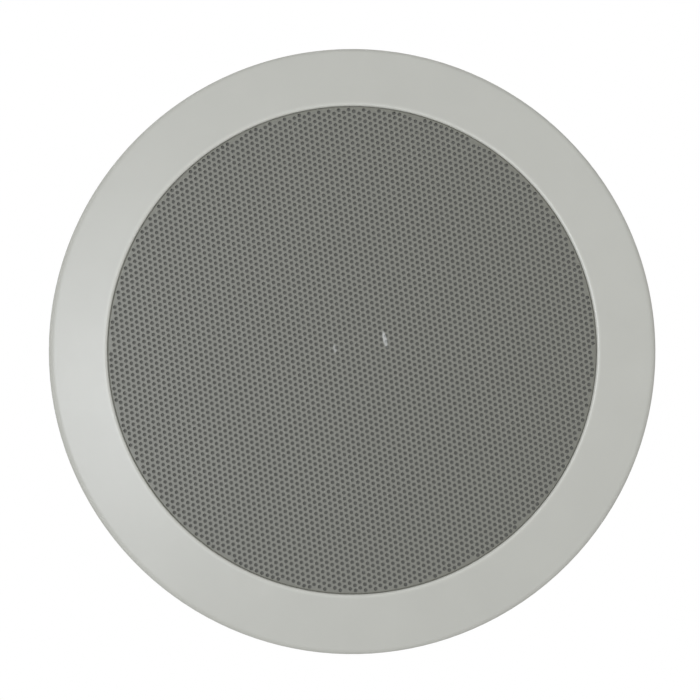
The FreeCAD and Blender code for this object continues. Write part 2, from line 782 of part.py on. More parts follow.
def make_spider():
    """Corrugated cloth that centres the coil, glued to the former and to the basket's ledge."""
    body = new_body("spider")
    waves = 10
    front = [(NECK, f"{SPIDER_SEAT} + spider_wall")]
    back = [(NECK, SPIDER_SEAT)]
    for k in range(1, waves):
        radius = f"{NECK} + {k} / {waves} * ({CUP} - {NECK})"
        swing = f"{1 if k % 2 else -1} * spider_wave"
        front.append((radius, f"{SPIDER_SEAT} + spider_wall + {swing}"))
        back.append((radius, f"{SPIDER_SEAT} + {swing}"))
    for radius in (CUP, "spider_radius"):
        front.append((radius, f"{SPIDER_SEAT} + spider_wall"))
        back.append((radius, SPIDER_SEAT))
    revolve(body, back + front[::-1])


def make_motor():
    """Pole plate, ferrite ring and yoke, with the gap for the coil between plate and pole."""
    ring(new_body("top_plate"), f"{COIL} + magnet_gap", "plate_radius", PLATE_BACK, PLATE_FRONT)
    ring(new_body("magnet"), "magnet_bore", "magnet_radius", MAGNET_BACK, PLATE_BACK)
    revolve(new_body("yoke"), [
        ("0", YOKE_BACK), ("yoke_radius", YOKE_BACK), ("yoke_radius", MAGNET_BACK),
        ("pole_radius", MAGNET_BACK), ("pole_radius", PLATE_FRONT), ("0", PLATE_FRONT),
    ])


def make_voice_coil():
    """The former, from just above the cone's neck to just below the winding, and the winding on it."""
    former = new_body("voice_coil_former")
    ring(former, FORMER_INNER, FORMER, f"{COIL_END} - coil_tail", f"{NECK_FRONT} + former_rise")
    ring(new_body("voice_coil"), FORMER, COIL, COIL_END, COIL_TOP)


def make_small_screws(name, place, seat, reach, count, turn, way):
    """A ring of equal cross-head screws. way is 1 with heads towards the grille, -1 with heads behind."""
    body = new_body(name)

    def levels(near, far):
        """Two depths measured outwards from the head's seat, put in rising order."""
        ends = (f"{seat} + {way} * ({near})", f"{seat} + {way} * ({far})")
        return ends if way > 0 else ends[::-1]

    head = round_solid(body, "Pad", place, "0", "small_head_radius", *levels("0", "small_head_height"), turn)
    shank = round_solid(body, "Pad", place, "0", "small_screw_radius", *levels(f"0 - ({reach})", "0"), turn)
    low, high = levels("small_head_height - recess_depth", "small_head_height")
    sketch = add_sketch(body, level=low, turn=turn)
    draw_cross(sketch, place, "0", "recess_arm", "recess_slot")
    recess = extrude(body, "Pocket", sketch, low, high)
    around(body, [head, shank, recess], count)


def make_tweeter():
    """Bridge, capsule, dome, trim ring and magnet of the tweeter."""
    bridge = new_body("tweeter_bridge")
    sketch = add_sketch(bridge)
    end = f"({OPENING} + bridge_landing - bridge_width / 2)"
    draw_slot(sketch, f"0 - {end}", end, "bridge_width / 2")
    extrude(bridge, "Pad", sketch, "0", "bridge_thickness")
    round_solid(bridge, "Pad", "0", "0", "bridge_ring_radius", CAPSULE_SEAT, "bridge_thickness")
    bore = "capsule_radius + capsule_clearance"
    round_solid(bridge, "Pocket", "0", "0", bore, CAPSULE_SEAT, "bridge_thickness")
    clear = "small_screw_radius + hole_clearance"
    hole = round_solid(bridge, "Pocket", BRIDGE_SCREWS, "0", clear, "0", "bridge_thickness")
    around(bridge, [hole], "bridge_screw_count")

    well = "(capsule_radius - capsule_rim)"
    cavity = "(dome_radius - dome_ledge)"
    revolve(new_body("tweeter_capsule"), [
        ("0", CAPSULE_BACK),
        ("capsule_radius + capsule_flange", CAPSULE_BACK),
        ("capsule_radius + capsule_flange", CAPSULE_SEAT),
        ("capsule_radius", CAPSULE_SEAT),
        ("capsule_radius", "capsule_front"),
        (well, "capsule_front"),
        (well, "dome_seat"),
        (cavity, "dome_seat"),
        (cavity, "dome_seat - dome_cavity"),
        ("0", "dome_seat - dome_cavity"),
    ])
    dome(new_body("tweeter_dome"), "dome_radius", "dome_height", "dome_wall", "dome_seat")
    trim = new_body("tweeter_trim")
    ring(trim, "dome_radius + trim_gap", f"{well} - trim_clearance", "dome_seat", "dome_seat + trim_height")
    low = f"{CAPSULE_BACK} - tweeter_magnet_height"
    round_solid(new_body("tweeter_magnet"), "Pad", "0", "0", "tweeter_magnet_radius", low, CAPSULE_BACK)


def make_tag_strip():
    """Insulating strip under the basket's ledge with two solder blades through it."""
    wall = f"({LEDGE} + basket_gauge)"
    middle = f"({wall} + tag_inset)"
    half_width = "tag_width / 2"
    half_gauge = "tag_thickness / 2"
    strip = new_body("tag_strip")
    low = f"({SPIDER_BACK} - strip_thickness)"
    box_solid(strip, "Pad", f"{wall} - strip_overlap", f"{wall} + strip_reach",
              "0 - strip_length / 2", "strip_length / 2", low, SPIDER_BACK, TAG_TURN)
    tags = new_body("tags")
    for side in ("-1", "1"):
        along = f"{side} * tag_spacing / 2"
        box_solid(strip, "Pocket",
                  f"{middle} - {half_gauge} - tag_clearance", f"{middle} + {half_gauge} + tag_clearance",
                  f"{along} - {half_width} - tag_clearance", f"{along} + {half_width} + tag_clearance",
                  low, SPIDER_BACK, TAG_TURN)
        box_solid(tags, "Pad",
                  f"{middle} - {half_gauge}", f"{middle} + {half_gauge}",
                  f"{along} - {half_width}", f"{along} + {half_width}",
                  f"{low} - tag_back", f"{SPIDER_BACK} + tag_front", TAG_TURN)


def make_board():
    """Crossover board on its foam pad behind the motor, with its components."""
    half = ("0 - pad_length / 2", "pad_length / 2", "0 - pad_width / 2", "pad_width / 2")
    box_solid(new_body("board_pad"), "Pad", *half, PAD_BACK, YOKE_BACK)
    board = new_body("crossover_board")
    half = ("0 - board_length / 2", "board_length / 2", "0 - board_width / 2", "board_width / 2")
    box_solid(board, "Pad", *half, BOARD_BACK, PAD_BACK)
    dress_edges(board, "Fillet", "Radius", "board_round", is_upright)

    axis = f"{BOARD_BACK} - capacitor_radius - seat_gap"
    capacitor = new_body("capacitor", "capacitor_side", "capacitor_up", axis)
    sketch = add_sketch(capacitor, "YZ_Plane", "0 - capacitor_length / 2")
    draw_circle(sketch, "0", "0", "capacitor_radius")
    extrude(capacitor, "Pad", sketch, "0", "capacitor_length")
    dress_edges(capacitor, "Fillet", "Radius", "capacitor_round", is_circle)

    bobbin = new_body("choke_bobbin", "choke_side", "choke_up", f"{BOARD_BACK} - choke_height")
    revolve(bobbin, [
        ("0", "0"), ("choke_radius", "0"), ("choke_radius", "choke_flange"), ("choke_core", "choke_flange"),
        ("choke_core", "choke_height - choke_flange"), ("choke_radius", "choke_height - choke_flange"),
        ("choke_radius", "choke_height"), ("0", "choke_height"),
    ])
    winding = new_body("choke_winding", "choke_side", "choke_up", f"{BOARD_BACK} - choke_height")
    ring(winding, "choke_core", "choke_radius - choke_inset", "choke_flange", "choke_height - choke_flange")

    resistor = new_body("resistor", "resistor_side", "resistor_up", BOARD_BACK)
    half = ("0 - resistor_length / 2", "resistor_length / 2", "0 - resistor_width / 2", "resistor_width / 2")
    box_solid(resistor, "Pad", *half, "0 - resistor_width", "0")
    dress_edges(resistor, "Chamfer", "Size", "resistor_edge", is_upright)


def make_terminals():
    """Push terminals: a block with two wire holes, a sprung button over each, and their solder tails."""
    block = new_body("terminal_block", "0", "block_up", BOARD_BACK)
    half = ("0 - block_length / 2", "block_length / 2", "0 - block_width / 2", "block_width / 2")
    box_solid(block, "Pad", *half, "0 - block_height", "0")
    dress_edges(block, "Chamfer", "Size", "block_edge", is_upright)
    contacts = new_body("terminal_contacts", "0", "block_up", BOARD_BACK)
    floor = "button_sunk + button_travel + button_clearance"
    half_length = "button_length / 2"
    half_width = "button_width / 2"
    for side, name in (("-1", "negative"), ("1", "positive")):
        across = f"{side} * terminal_spacing / 2"
        wire = (across, "0 - wire_drop", "wire_radius")
        round_solid(block, "Pocket", *wire, "0 - block_height", "wire_depth - block_height")
        well_length = f"({half_length} + button_clearance)"
        well_width = f"({half_width} + button_clearance)"
        box_solid(block, "Pocket",
                  f"{across} - {well_length}", f"{across} + {well_length}",
                  f"button_up - {well_width}", f"button_up + {well_width}",
                  "0 - block_height", f"{floor} - block_height")
        box_solid(contacts, "Pad",
                  f"{across} - contact_width / 2", f"{across} + contact_width / 2",
                  "block_width / 2", "block_width / 2 + contact_length", "0 - contact_thickness", "0")
        button = new_body(f"terminal_button_{name}", across, "block_up + button_up", BLOCK_BACK)
        box_solid(button, "Pad", f"0 - {half_length}", half_length, f"0 - {half_width}", half_width,
                  "0 - button_proud", "button_sunk")
        dress_edges(button, "Fillet", "Radius", "button_round", is_upright)


def make_clamp(number_name, angle):
    """One mounting clamp at rest: screw, retaining clip, and the dog stowed along the frame."""
    place = (f"{CLAMP_CIRCLE} * cos({angle})", f"{CLAMP_CIRCLE} * sin({angle})", "0", angle)
    screw = new_body(f"clamp_screw_{number_name}", *place)
    seat = "(0 - head_recess)"
    top = f"({seat} + screw_head_height)"
    revolve(screw, [
        ("0", SCREW_END),
        ("screw_radius - screw_point", SCREW_END),
        ("screw_radius", f"{SCREW_END} + screw_point"),
        ("screw_radius", seat),
        ("screw_head_radius", seat),
        ("screw_head_radius", top),
        ("0", top),
    ])
    crown = ("screw_head_radius", top)
    dress_edges(screw, "Fillet", "Radius", "screw_head_round", lambda edge: is_ring(edge, *crown))
    low = f"{top} - clamp_recess_depth"
    sketch = add_sketch(screw, level=low)
    draw_cross(sketch, "0", "0", "clamp_recess_arm", "clamp_recess_slot")
    extrude(screw, "Pocket", sketch, low, top)

    clip = new_body(f"clamp_clip_{number_name}", *place)
    ring(clip, "screw_radius + clip_clearance", "clip_radius", CLIP_BACK, CLIP_FRONT)
    mouth = ("0", "clip_radius + clip_gap", "0 - clip_mouth / 2", "clip_mouth / 2")
    box_solid(clip, "Pocket", *mouth, CLIP_BACK, CLIP_FRONT)

    dog = new_body(f"clamp_dog_{number_name}", *place)
    sketch = add_sketch(dog, level=ARM_BACK, turn=90)
    draw_slot(sketch, "0", "dog_reach - dog_width / 2", "dog_width / 2")
    extrude(dog, "Pad", sketch, ARM_BACK, DOG_FRONT)
    round_solid(dog, "Pad", "0", "0", "dog_width / 2", HUB_BACK, DOG_FRONT)
    sketch = add_sketch(dog, "YZ_Plane")
    draw_outline(sketch, [("0", HUB_BACK), ("web_reach", ARM_BACK), ("0", ARM_BACK)])
    web = dog.newObject("PartDesign::Pad", "dog_web")
    web.Profile = (sketch, [""])
    web.SideType = "Symmetric"
    web.setExpression("Length", bound("web_wall"))
    round_solid(dog, "Pocket", "0", "0", "screw_radius + dog_clearance", HUB_BACK, DOG_FRONT)


def check_document():
    """Stop if any object failed or any sub-part has no sound solid."""
    for item in doc.Objects:
        if "Invalid" in item.State or "Error" in item.State:
            raise RuntimeError(f"{item.Label} did not rebuild")
    for item in subparts:
        if item.Shape.isNull() or not item.Shape.isValid() or not item.Shape.Solids:
            raise RuntimeError(f"{item.Label} has no sound solid")


make_bezel_frame()
make_grille()
make_grille_cloth()
make_driver_gasket()
make_basket()
make_surround()
make_cone()
dome(new_body("dust_cap"), "cap_radius", "cap_height", "cap_wall", CAP_BASE)
make_voice_coil()
make_spider()
make_motor()
driver_reach = "basket_gauge + gasket_thickness + driver_screw_reach"
make_small_screws("driver_screws", DRIVER_SCREWS, FLANGE_BACK, driver_reach,
                  "driver_screw_count", CLAMP_TURN, -1)
make_tweeter()
bridge_reach = "bridge_thickness + bridge_screw_reach"
make_small_screws("bridge_screws", BRIDGE_SCREWS, "bridge_thickness", bridge_reach,
                  "bridge_screw_count", 0.0, 1)
make_tag_strip()
make_board()
make_terminals()
lead("tinsel_lead_positive", TINSEL_ROUTE, TINSEL_RADIUS)
lead("tinsel_lead_negative", mirrored(TINSEL_ROUTE), TINSEL_RADIUS)
lead("woofer_lead_positive", WOOFER_LEAD_ROUTE, WOOFER_LEAD_RADIUS)
lead("woofer_lead_negative", mirrored(WOOFER_LEAD_ROUTE), WOOFER_LEAD_RADIUS)
lead("tweeter_lead", TWEETER_LEAD_ROUTE, TWEETER_LEAD_RADIUS)
for clamp_number, clamp_angle in enumerate(CLAMP_ANGLES, start=1):
    make_clamp(clamp_number, clamp_angle)

doc.recompute()
check_document()
os.makedirs("parts", exist_ok=True)
for subpart in subparts:
    subpart.Shape.exportStep(os.path.join("parts", f"{subpart.Label}.step"))
print(f"{len(subparts)} sub-parts written")
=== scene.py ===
# %% [markdown]
# # A round flush-mount speaker
#
# This speaker sits in a round hole of a wall or a ceiling. From the room one sees a pale moulded bezel
# and a perforated steel grille. Behind the panel are the driver, a small crossover board with push
# terminals, and four clamps that swing out and grip the panel from behind.
#
# The engineered model is loaded first and stays as it is. What follows gives its pieces a finish, makes
# finer meshes that stand for some of them, and adds small things such as solder and threads. All sizes
# are in metres, and y runs into the wall.

# %% Load the frame
import json
import math

import bmesh
import bpy
from mathutils import Matrix, Vector
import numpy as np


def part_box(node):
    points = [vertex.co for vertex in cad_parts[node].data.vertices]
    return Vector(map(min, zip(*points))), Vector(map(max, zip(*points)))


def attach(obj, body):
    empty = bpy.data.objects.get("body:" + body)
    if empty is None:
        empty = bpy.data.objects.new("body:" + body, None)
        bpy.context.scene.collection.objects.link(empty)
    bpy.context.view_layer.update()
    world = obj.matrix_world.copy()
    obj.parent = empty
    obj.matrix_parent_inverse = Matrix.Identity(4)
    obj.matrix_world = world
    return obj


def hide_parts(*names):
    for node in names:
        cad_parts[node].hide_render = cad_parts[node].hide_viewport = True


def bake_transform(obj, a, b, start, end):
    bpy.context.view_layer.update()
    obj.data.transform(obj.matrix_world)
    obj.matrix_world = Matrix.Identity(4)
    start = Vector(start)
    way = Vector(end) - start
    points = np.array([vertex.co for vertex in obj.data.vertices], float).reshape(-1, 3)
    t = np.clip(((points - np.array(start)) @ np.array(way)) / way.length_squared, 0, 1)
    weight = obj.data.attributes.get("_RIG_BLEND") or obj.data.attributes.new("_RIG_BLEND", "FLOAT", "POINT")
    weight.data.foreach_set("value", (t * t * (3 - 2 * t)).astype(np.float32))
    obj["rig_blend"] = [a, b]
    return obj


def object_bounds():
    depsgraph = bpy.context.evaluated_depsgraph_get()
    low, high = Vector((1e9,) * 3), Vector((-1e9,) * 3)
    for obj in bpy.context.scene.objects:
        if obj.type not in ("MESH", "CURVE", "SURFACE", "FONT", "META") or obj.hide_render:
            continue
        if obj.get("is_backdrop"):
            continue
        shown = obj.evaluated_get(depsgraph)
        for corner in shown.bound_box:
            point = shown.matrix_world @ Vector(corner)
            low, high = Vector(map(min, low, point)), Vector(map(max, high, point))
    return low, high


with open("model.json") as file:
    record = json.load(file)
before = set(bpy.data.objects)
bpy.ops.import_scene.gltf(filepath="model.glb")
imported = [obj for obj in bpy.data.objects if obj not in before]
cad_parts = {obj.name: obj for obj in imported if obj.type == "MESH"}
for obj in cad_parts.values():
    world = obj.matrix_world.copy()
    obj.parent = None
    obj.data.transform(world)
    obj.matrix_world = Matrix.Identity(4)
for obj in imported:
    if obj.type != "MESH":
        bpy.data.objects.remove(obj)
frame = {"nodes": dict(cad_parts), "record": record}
cad_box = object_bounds()
MM = 0.001

# %% [markdown]
# ## The camera
#
# The picture looks almost straight at the grille: the bezel is only a little narrower above it than
# below, as it is for a camera that stands slightly lower than the speaker. A long lens from a metre away
# keeps the perspective as flat as in the picture. The lens could be found by trial, but the bezel's edge
# fills a known share of the picture, so it is worked out from that share. The tiny shift puts the
# speaker's axis where it is in the picture.

# %% Camera
# The picture's side, the bezel's radius and the axis are in pixels, and the sensor is in millimetres
PICTURE_SIDE = 700
BEZEL_IN_PICTURE = 302.95
AXIS_IN_PICTURE = (352.1, 349.6)
SENSOR = 36.0
CAMERA_DISTANCE = 1.1
CAMERA_DIP = math.radians(4)

bezel_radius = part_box("bezel_frame")[1].x
field = PICTURE_SIDE / BEZEL_IN_PICTURE * bezel_radius
camera = bpy.data.objects.new("camera", bpy.data.cameras.new("camera"))
bpy.context.collection.objects.link(camera)
bpy.context.scene.camera = camera
camera.location = (0, -CAMERA_DISTANCE * math.cos(CAMERA_DIP), -CAMERA_DISTANCE * math.sin(CAMERA_DIP))
camera.rotation_euler = (math.pi / 2 + CAMERA_DIP, 0, 0)
camera.data.sensor_width = SENSOR
camera.data.lens = SENSOR * CAMERA_DISTANCE / field
camera.data.shift_x = (PICTURE_SIDE / 2 - AXIS_IN_PICTURE[0]) / PICTURE_SIDE
camera.data.shift_y = (AXIS_IN_PICTURE[1] - PICTURE_SIDE / 2) / PICTURE_SIDE
print(f"lens {camera.data.lens:.1f} mm for a field of {field / MM:.1f} mm")

# %% [markdown]
# ## Writing shaders as sums
#
# A procedural finish is a small network of nodes. Wiring each node by hand takes many lines, so one class
# wraps an output socket: plus, minus, times and the like on it add Math nodes, and one method adds any
# other node.

# %% Shader sockets as numbers
class Wire:
    """An output socket of a node tree. Arithmetic on it adds Math nodes."""

    def __init__(self, tree, socket=None):
        self.tree = tree
        self.socket = socket

    def node(self, kind, settings=None, inputs=None, output=0):
        """Add a node: its settings first, then a value or a link for each of its sockets."""
        made = self.tree.nodes.new(kind)
        for name, value in (settings or {}).items():
            setattr(made, name, value)
        for name, value in (inputs or {}).items():
            if isinstance(value, Wire):
                self.tree.links.new(value.socket, made.inputs[name])
            else:
                made.inputs[name].default_value = value
        return Wire(self.tree, made.outputs[output])

    def math(self, operation, first, second=0.0):
        """Add a Math node."""
        return self.node("ShaderNodeMath", {"operation": operation}, {0: first, 1: second})

    def __add__(self, other):
        return self.math("ADD", self, other)

    def __sub__(self, other):
        return self.math("SUBTRACT", self, other)

    def __rsub__(self, other):
        return self.math("SUBTRACT", other, self)

    def __mul__(self, other):
        return self.math("MULTIPLY", self, other)

    def __pow__(self, other):
        return self.math("POWER", self, other)

    __radd__ = __add__
    __rmul__ = __mul__

    def sine(self):
        return self.math("SINE", self)

    def size(self):
        return self.math("ABSOLUTE", self)

    def most(self, other):
        return self.math("MAXIMUM", self, other)

    def rise(self, low, high):
        """0 below low, 1 above high, and a soft step between. With low above high it falls instead."""
        limits = {"Value": self, "From Min": low, "From Max": high}
        return self.node("ShaderNodeMapRange", {"interpolation_type": "SMOOTHSTEP"}, limits)

    def mix(self, first, second):
        """The first colour where this value is 0, the second where it is 1."""
        # A Mix node has sockets for every kind of data: inputs 6 and 7 and output 2 are those for colours
        return self.node("ShaderNodeMix", {"data_type": "RGBA"}, {0: self, 6: first, 7: second}, 2)


# %% [markdown]
# ## The studio
#
# The speaker is pictured on plain white. World and floor are white to the camera, and to rays that
# reflect off or pass through something, but they light the object only gently, so the colours come out as
# they are written.

# %% World
AMBIENT = 0.44
WHITE = (1.0, 1.0, 1.0, 1.0)


def seen_directly(wire):
    """1 for rays from the camera, a reflection or a clear material, 0 for rays that carry light."""
    seen = wire.node("ShaderNodeLightPath", output="Is Camera Ray")
    rays = seen.socket.node.outputs
    for kind in ("Is Glossy Ray", "Is Transmission Ray"):
        seen = seen.most(Wire(wire.tree, rays[kind]))
    return seen


world = bpy.data.worlds.new("studio")
world.use_nodes = True
bpy.context.scene.world = world
bpy.context.scene.view_settings.view_transform = "Standard"
background = world.node_tree.nodes["Background"]
background.inputs["Color"].default_value = WHITE
glow = seen_directly(Wire(world.node_tree)) * (1 - AMBIENT) + AMBIENT
world.node_tree.links.new(glow.socket, background.inputs["Strength"])
print("light from all sides:", AMBIENT)

# %% [markdown]
# ### The floor
#
# A floor could be left out, but a shadow below the object shows where it is in space. Near the object the
# floor is partly matt, so it shows that shadow, and further away it is plain white. From below it is
# clear, because a speaker in a ceiling is looked at from there.

# %% Floor
FLOOR_LEVEL = -0.2
FLOOR_SIDE = 12.0

bm = bmesh.new()
bmesh.ops.create_grid(bm, x_segments=1, y_segments=1, size=FLOOR_SIDE / 2)
bmesh.ops.translate(bm, verts=bm.verts, vec=(0, 0, FLOOR_LEVEL))
floor_mesh = bpy.data.meshes.new("floor")
bm.to_mesh(floor_mesh)
bm.free()
floor = bpy.data.objects.new("floor", floor_mesh)
bpy.context.collection.objects.link(floor)
floor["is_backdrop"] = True
print("floor at", FLOOR_LEVEL)

# %% Floor finish
FLOOR_WHITE = (0.9, 0.9, 0.9, 1.0)
FLOOR_SHADE = (0.5, 0.5, 0.5, 1.0)
FLOOR_GLOW = 0.6
SHADOW_FADES = (0.3, 0.6)

floor_finish = bpy.data.materials.new("floor_finish")
floor_finish.use_nodes = True
tree = floor_finish.node_tree
tree.nodes.remove(tree.nodes["Principled BSDF"])
start = Wire(tree)
matt = start.node("ShaderNodeBsdfDiffuse", None, {"Color": FLOOR_WHITE})
shadow = start.node("ShaderNodeBsdfDiffuse", None, {"Color": FLOOR_SHADE})
lit = start.node("ShaderNodeEmission", None, {"Color": WHITE, "Strength": FLOOR_GLOW})
near = start.node("ShaderNodeAddShader", None, {0: lit, 1: shadow})
plain = start.node("ShaderNodeEmission", None, {"Color": WHITE, "Strength": 1.0})
place = start.node("ShaderNodeTexCoord", output="Object")
reach = start.node("ShaderNodeVectorMath", {"operation": "LENGTH"}, {0: place}, "Value")
shown = start.node("ShaderNodeMixShader", None, {0: reach.rise(*SHADOW_FADES), 1: near, 2: plain})
above = start.node("ShaderNodeMixShader", None, {0: seen_directly(start), 1: matt, 2: shown})
below = start.node("ShaderNodeNewGeometry", output="Backfacing")
clear = start.node("ShaderNodeBsdfTransparent")
mixed = start.node("ShaderNodeMixShader", None, {0: below, 1: above, 2: clear})
tree.links.new(mixed.socket, tree.nodes["Material Output"].inputs["Surface"])
floor_mesh.materials.append(floor_finish)
print("floor finish of", len(tree.nodes), "nodes")

# %% [markdown]
# ### The lamps
#
# The light in the picture is soft and comes from the front, a little from the left: the bezel slopes away
# from the grille, and only on its left does that slope mirror the key lamp. One wide lamp fills the
# front, and another lights the back, which would be dull otherwise.

# %% Lamps
KEY_ANGLE = math.radians(16)
KEY_DISTANCE = 1.6
KEY_HEIGHT = 0.02


def softbox(name, place, side, power, tint=(1.0, 1.0, 1.0)):
    """A large square lamp that faces the speaker and isn't seen itself."""
    lamp = bpy.data.objects.new(name, bpy.data.lights.new(name, "AREA"))
    lamp.data.size = side
    lamp.data.energy = power
    lamp.data.color = tint
    lamp.location = place
    lamp.rotation_euler = (-Vector(place)).to_track_quat("-Z", "Y").to_euler()
    lamp.visible_camera = False
    bpy.context.collection.objects.link(lamp)
    print(f"{name}: {power} W from {side} m")


key_place = (-KEY_DISTANCE * math.sin(KEY_ANGLE), -KEY_DISTANCE * math.cos(KEY_ANGLE), KEY_HEIGHT)
softbox("key", key_place, side=0.35, power=10, tint=(0.95, 0.98, 1.05))
softbox("front_fill", (0.6, -1.5, 0.1), side=1.0, power=3)
softbox("back_fill", (-0.8, 1.5, 1.2), side=2.4, power=20)

# %% [markdown]
# ## Finishes
#
# No surface of the real speaker is one flat colour. Moulded plastic carries the fine grain of its mould,
# paint has an orange-peel skin, cloth has a weave and plated steel is cloudy. Pictures could be wrapped
# round the pieces, but every pattern here is worked out from the place on the object, so it has a true
# scale and no seams. The record names a material slot for each piece, and each finish below is made for
# one slot.

# %% Helpers for finishes
FINISHES = {}


def new_finish(slot, constants=None):
    """Start the finish of a slot, with its constant sockets set. Returns the place on the object."""
    finish = bpy.data.materials.new(slot)
    finish.use_nodes = True
    for socket, value in (constants or {}).items():
        finish.node_tree.nodes["Principled BSDF"].inputs[socket].default_value = value
    FINISHES[slot] = finish
    print("finish:", slot)
    return Wire(finish.node_tree).node("ShaderNodeTexCoord", output="Object")


def feed(colour, roughness, relief, depth):
    """Link what varies: the colour, the roughness, and a relief from 0 to 1 with its depth in metres."""
    links = colour.tree.links
    sockets = colour.tree.nodes["Principled BSDF"].inputs
    bump = relief.node("ShaderNodeBump", None, {"Height": relief, "Distance": depth}, "Normal")
    links.new(colour.socket, sockets["Base Color"])
    links.new(roughness.socket, sockets["Roughness"])
    links.new(bump.socket, sockets["Normal"])


# %% Helpers for colours
def srgb(red, green, blue):
    """A colour as seen on a screen, from 0 to 255, as the linear one that shaders use."""
    linear = []
    for part in (red, green, blue):
        share = part / 255
        linear.append(share / 12.92 if share <= 0.04045 else ((share + 0.055) / 1.055) ** 2.4)
    return (*linear, 1.0)


def shade(colour, factor):
    """The same colour, darker or lighter."""
    return (*(part * factor for part in colour[:3]), 1.0)


def tinted(mask, colour, darkest, palest):
    """A colour in its darkest shade where a mask is 0, and in its palest where it is 1."""
    return mask.mix(shade(colour, darkest), shade(colour, palest))


# %% Helpers for patterns
def axes(place):
    """The three coordinates of a place as separate numbers."""
    parts = place.node("ShaderNodeSeparateXYZ", None, {0: place}).socket.node.outputs
    return [Wire(place.tree, part) for part in parts]


def from_axis(place):
    """The distance from the speaker's axis."""
    x, _, z = axes(place)
    return (x * x + z * z) ** 0.5


def noise(place, grain, detail=2.0):
    """Soft blotches about as wide as grain, from 0 to 1 and mostly near a half."""
    return place.node("ShaderNodeTexNoise", None, {"Vector": place, "Scale": 1 / grain, "Detail": detail})


def uneven(level, blotches, spread):
    """A roughness about a level, made uneven by blotches."""
    return level + (blotches - 0.5) * spread


def weave(place, thread):
    """Crossing threads of a given width, from 0 to 1."""
    x, _, z = axes(place)
    turn = math.pi / thread
    return (x * turn).sine() * (z * turn).sine() * 0.5 + 0.5


# %% [markdown]
# ### Plastics
#
# The bezel, the clamps and the terminals are injection moulded. Their colour is almost even, with faint
# clouds from the melt, and their sheen is broken by the grain of the mould. The clamp arms are stiffened
# with glass fibres. On the bezel, the lip round the grille carries a painted highlight: it is painted a
# little paler, after the thin bright line in the picture. The outer rim is duller, because the facets of
# that thin edge would glint when seen from behind. Both are rings, so they are drawn by the distance from
# the axis.

# %% Moulded plastic
# Where each ring starts and is full: past the grille's edge, by level, and inside the bezel's edge
LIP_HIGHLIGHT_WIDTHS = (2.4 * MM, 1.2 * MM)
LIP_HIGHLIGHT_LEVELS = (-3.0 * MM, -4.0 * MM)
RIM_WIDTHS = (2.5 * MM, 1.2 * MM)
LIP_HIGHLIGHT_GAIN = 1.1
RIM_DULLER = 0.4


def moulded_plastic(slot, colour, gloss, is_bezel=False):
    """Moulded plastic with faint clouds and the grain of its mould. The bezel has two rings: a painted
    highlight and a duller rim.
    """
    place = new_finish(slot)
    skin = noise(place, 0.5 * MM)
    tone = tinted(noise(place, 22 * MM, detail=3), colour, 0.96, 1.04)
    roughness = uneven(gloss, skin, 0.15)
    if is_bezel:
        _, level, _ = axes(place)
        radius = from_axis(place)
        grille_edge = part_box("grille")[1].x
        lip_highlight = radius.rise(*(grille_edge + width for width in LIP_HIGHLIGHT_WIDTHS)) * level.rise(*LIP_HIGHLIGHT_LEVELS)
        rim = radius.rise(*(bezel_radius - width for width in RIM_WIDTHS))
        # Painted highlight: the lip's colour is raised to stand in for a thin bright line of light
        tone = lip_highlight.mix(tone, shade(colour, LIP_HIGHLIGHT_GAIN))
        roughness = roughness + rim * RIM_DULLER
    feed(tone, roughness, skin, depth=0.008 * MM)


moulded_plastic("bezel_plastic", srgb(185, 185, 177), gloss=0.36, is_bezel=True)
moulded_plastic("black_plastic", srgb(38, 38, 40), gloss=0.42)
moulded_plastic("button_red", srgb(172, 30, 28), gloss=0.3)
moulded_plastic("button_black", srgb(34, 34, 36), gloss=0.3)


# %% Plastic with fibres
def filled_plastic(slot, colour):
    """Stiff plastic with short glass fibres, which show as pale flecks."""
    place = new_finish(slot)
    flecks = noise(place, 0.35 * MM, detail=1).rise(0.6, 0.72)
    skin = noise(place, 0.8 * MM)
    feed(tinted(flecks, colour, 1.0, 1.18), uneven(0.5, skin, 0.2), skin, depth=0.02 * MM)


filled_plastic("dog_plastic", srgb(168, 169, 164))

# %% [markdown]
# ### Paint on the grille
#
# The perforated steel is sprayed in a satin grey. Near its middle lies a painted glint, a pale streak of
# reflected light about six millimetres long, and a fainter one beside it, both across the holes. They are
# painted as soft ellipses on the sheet and on the cloth behind it, so each stays whole where it crosses a
# hole.

# %% Smears
# Each painted glint: place across and up, width, length, lean to the left in degrees, strength
PAINTED_GLINTS = (
    (12.4 * MM, 3.6 * MM, 1.6 * MM, 6.2 * MM, 13, 1.0),
    (-6.5 * MM, 0.0 * MM, 1.4 * MM, 3.6 * MM, 8, 0.45),
)
GLINT_FADES = (1.5, 0.1)
GLINT_GREY = srgb(180, 181, 177)


def painted_glints(place):
    """How much of a painted glint lies on a place, from 0 to 1."""
    x, _, z = axes(place)
    total = 0.0
    for across, up, width, length, lean, strength in PAINTED_GLINTS:
        turn = math.radians(lean)
        side = ((x - across) * math.cos(turn) + (z - up) * math.sin(turn)) * (2 / width)
        along = ((z - up) * math.cos(turn) - (x - across) * math.sin(turn)) * (2 / length)
        total = total + (side * side + along * along).rise(*GLINT_FADES) * strength
    return total


print("smears:", len(PAINTED_GLINTS))

# %% Grille paint and cloth
GRILLE_GREY = srgb(116, 116, 107)
# The cloth's grey is partly its own and partly painted shade, for the dark inside seen through the holes
SCRIM_AND_SHADE_GREY = srgb(107, 107, 102)


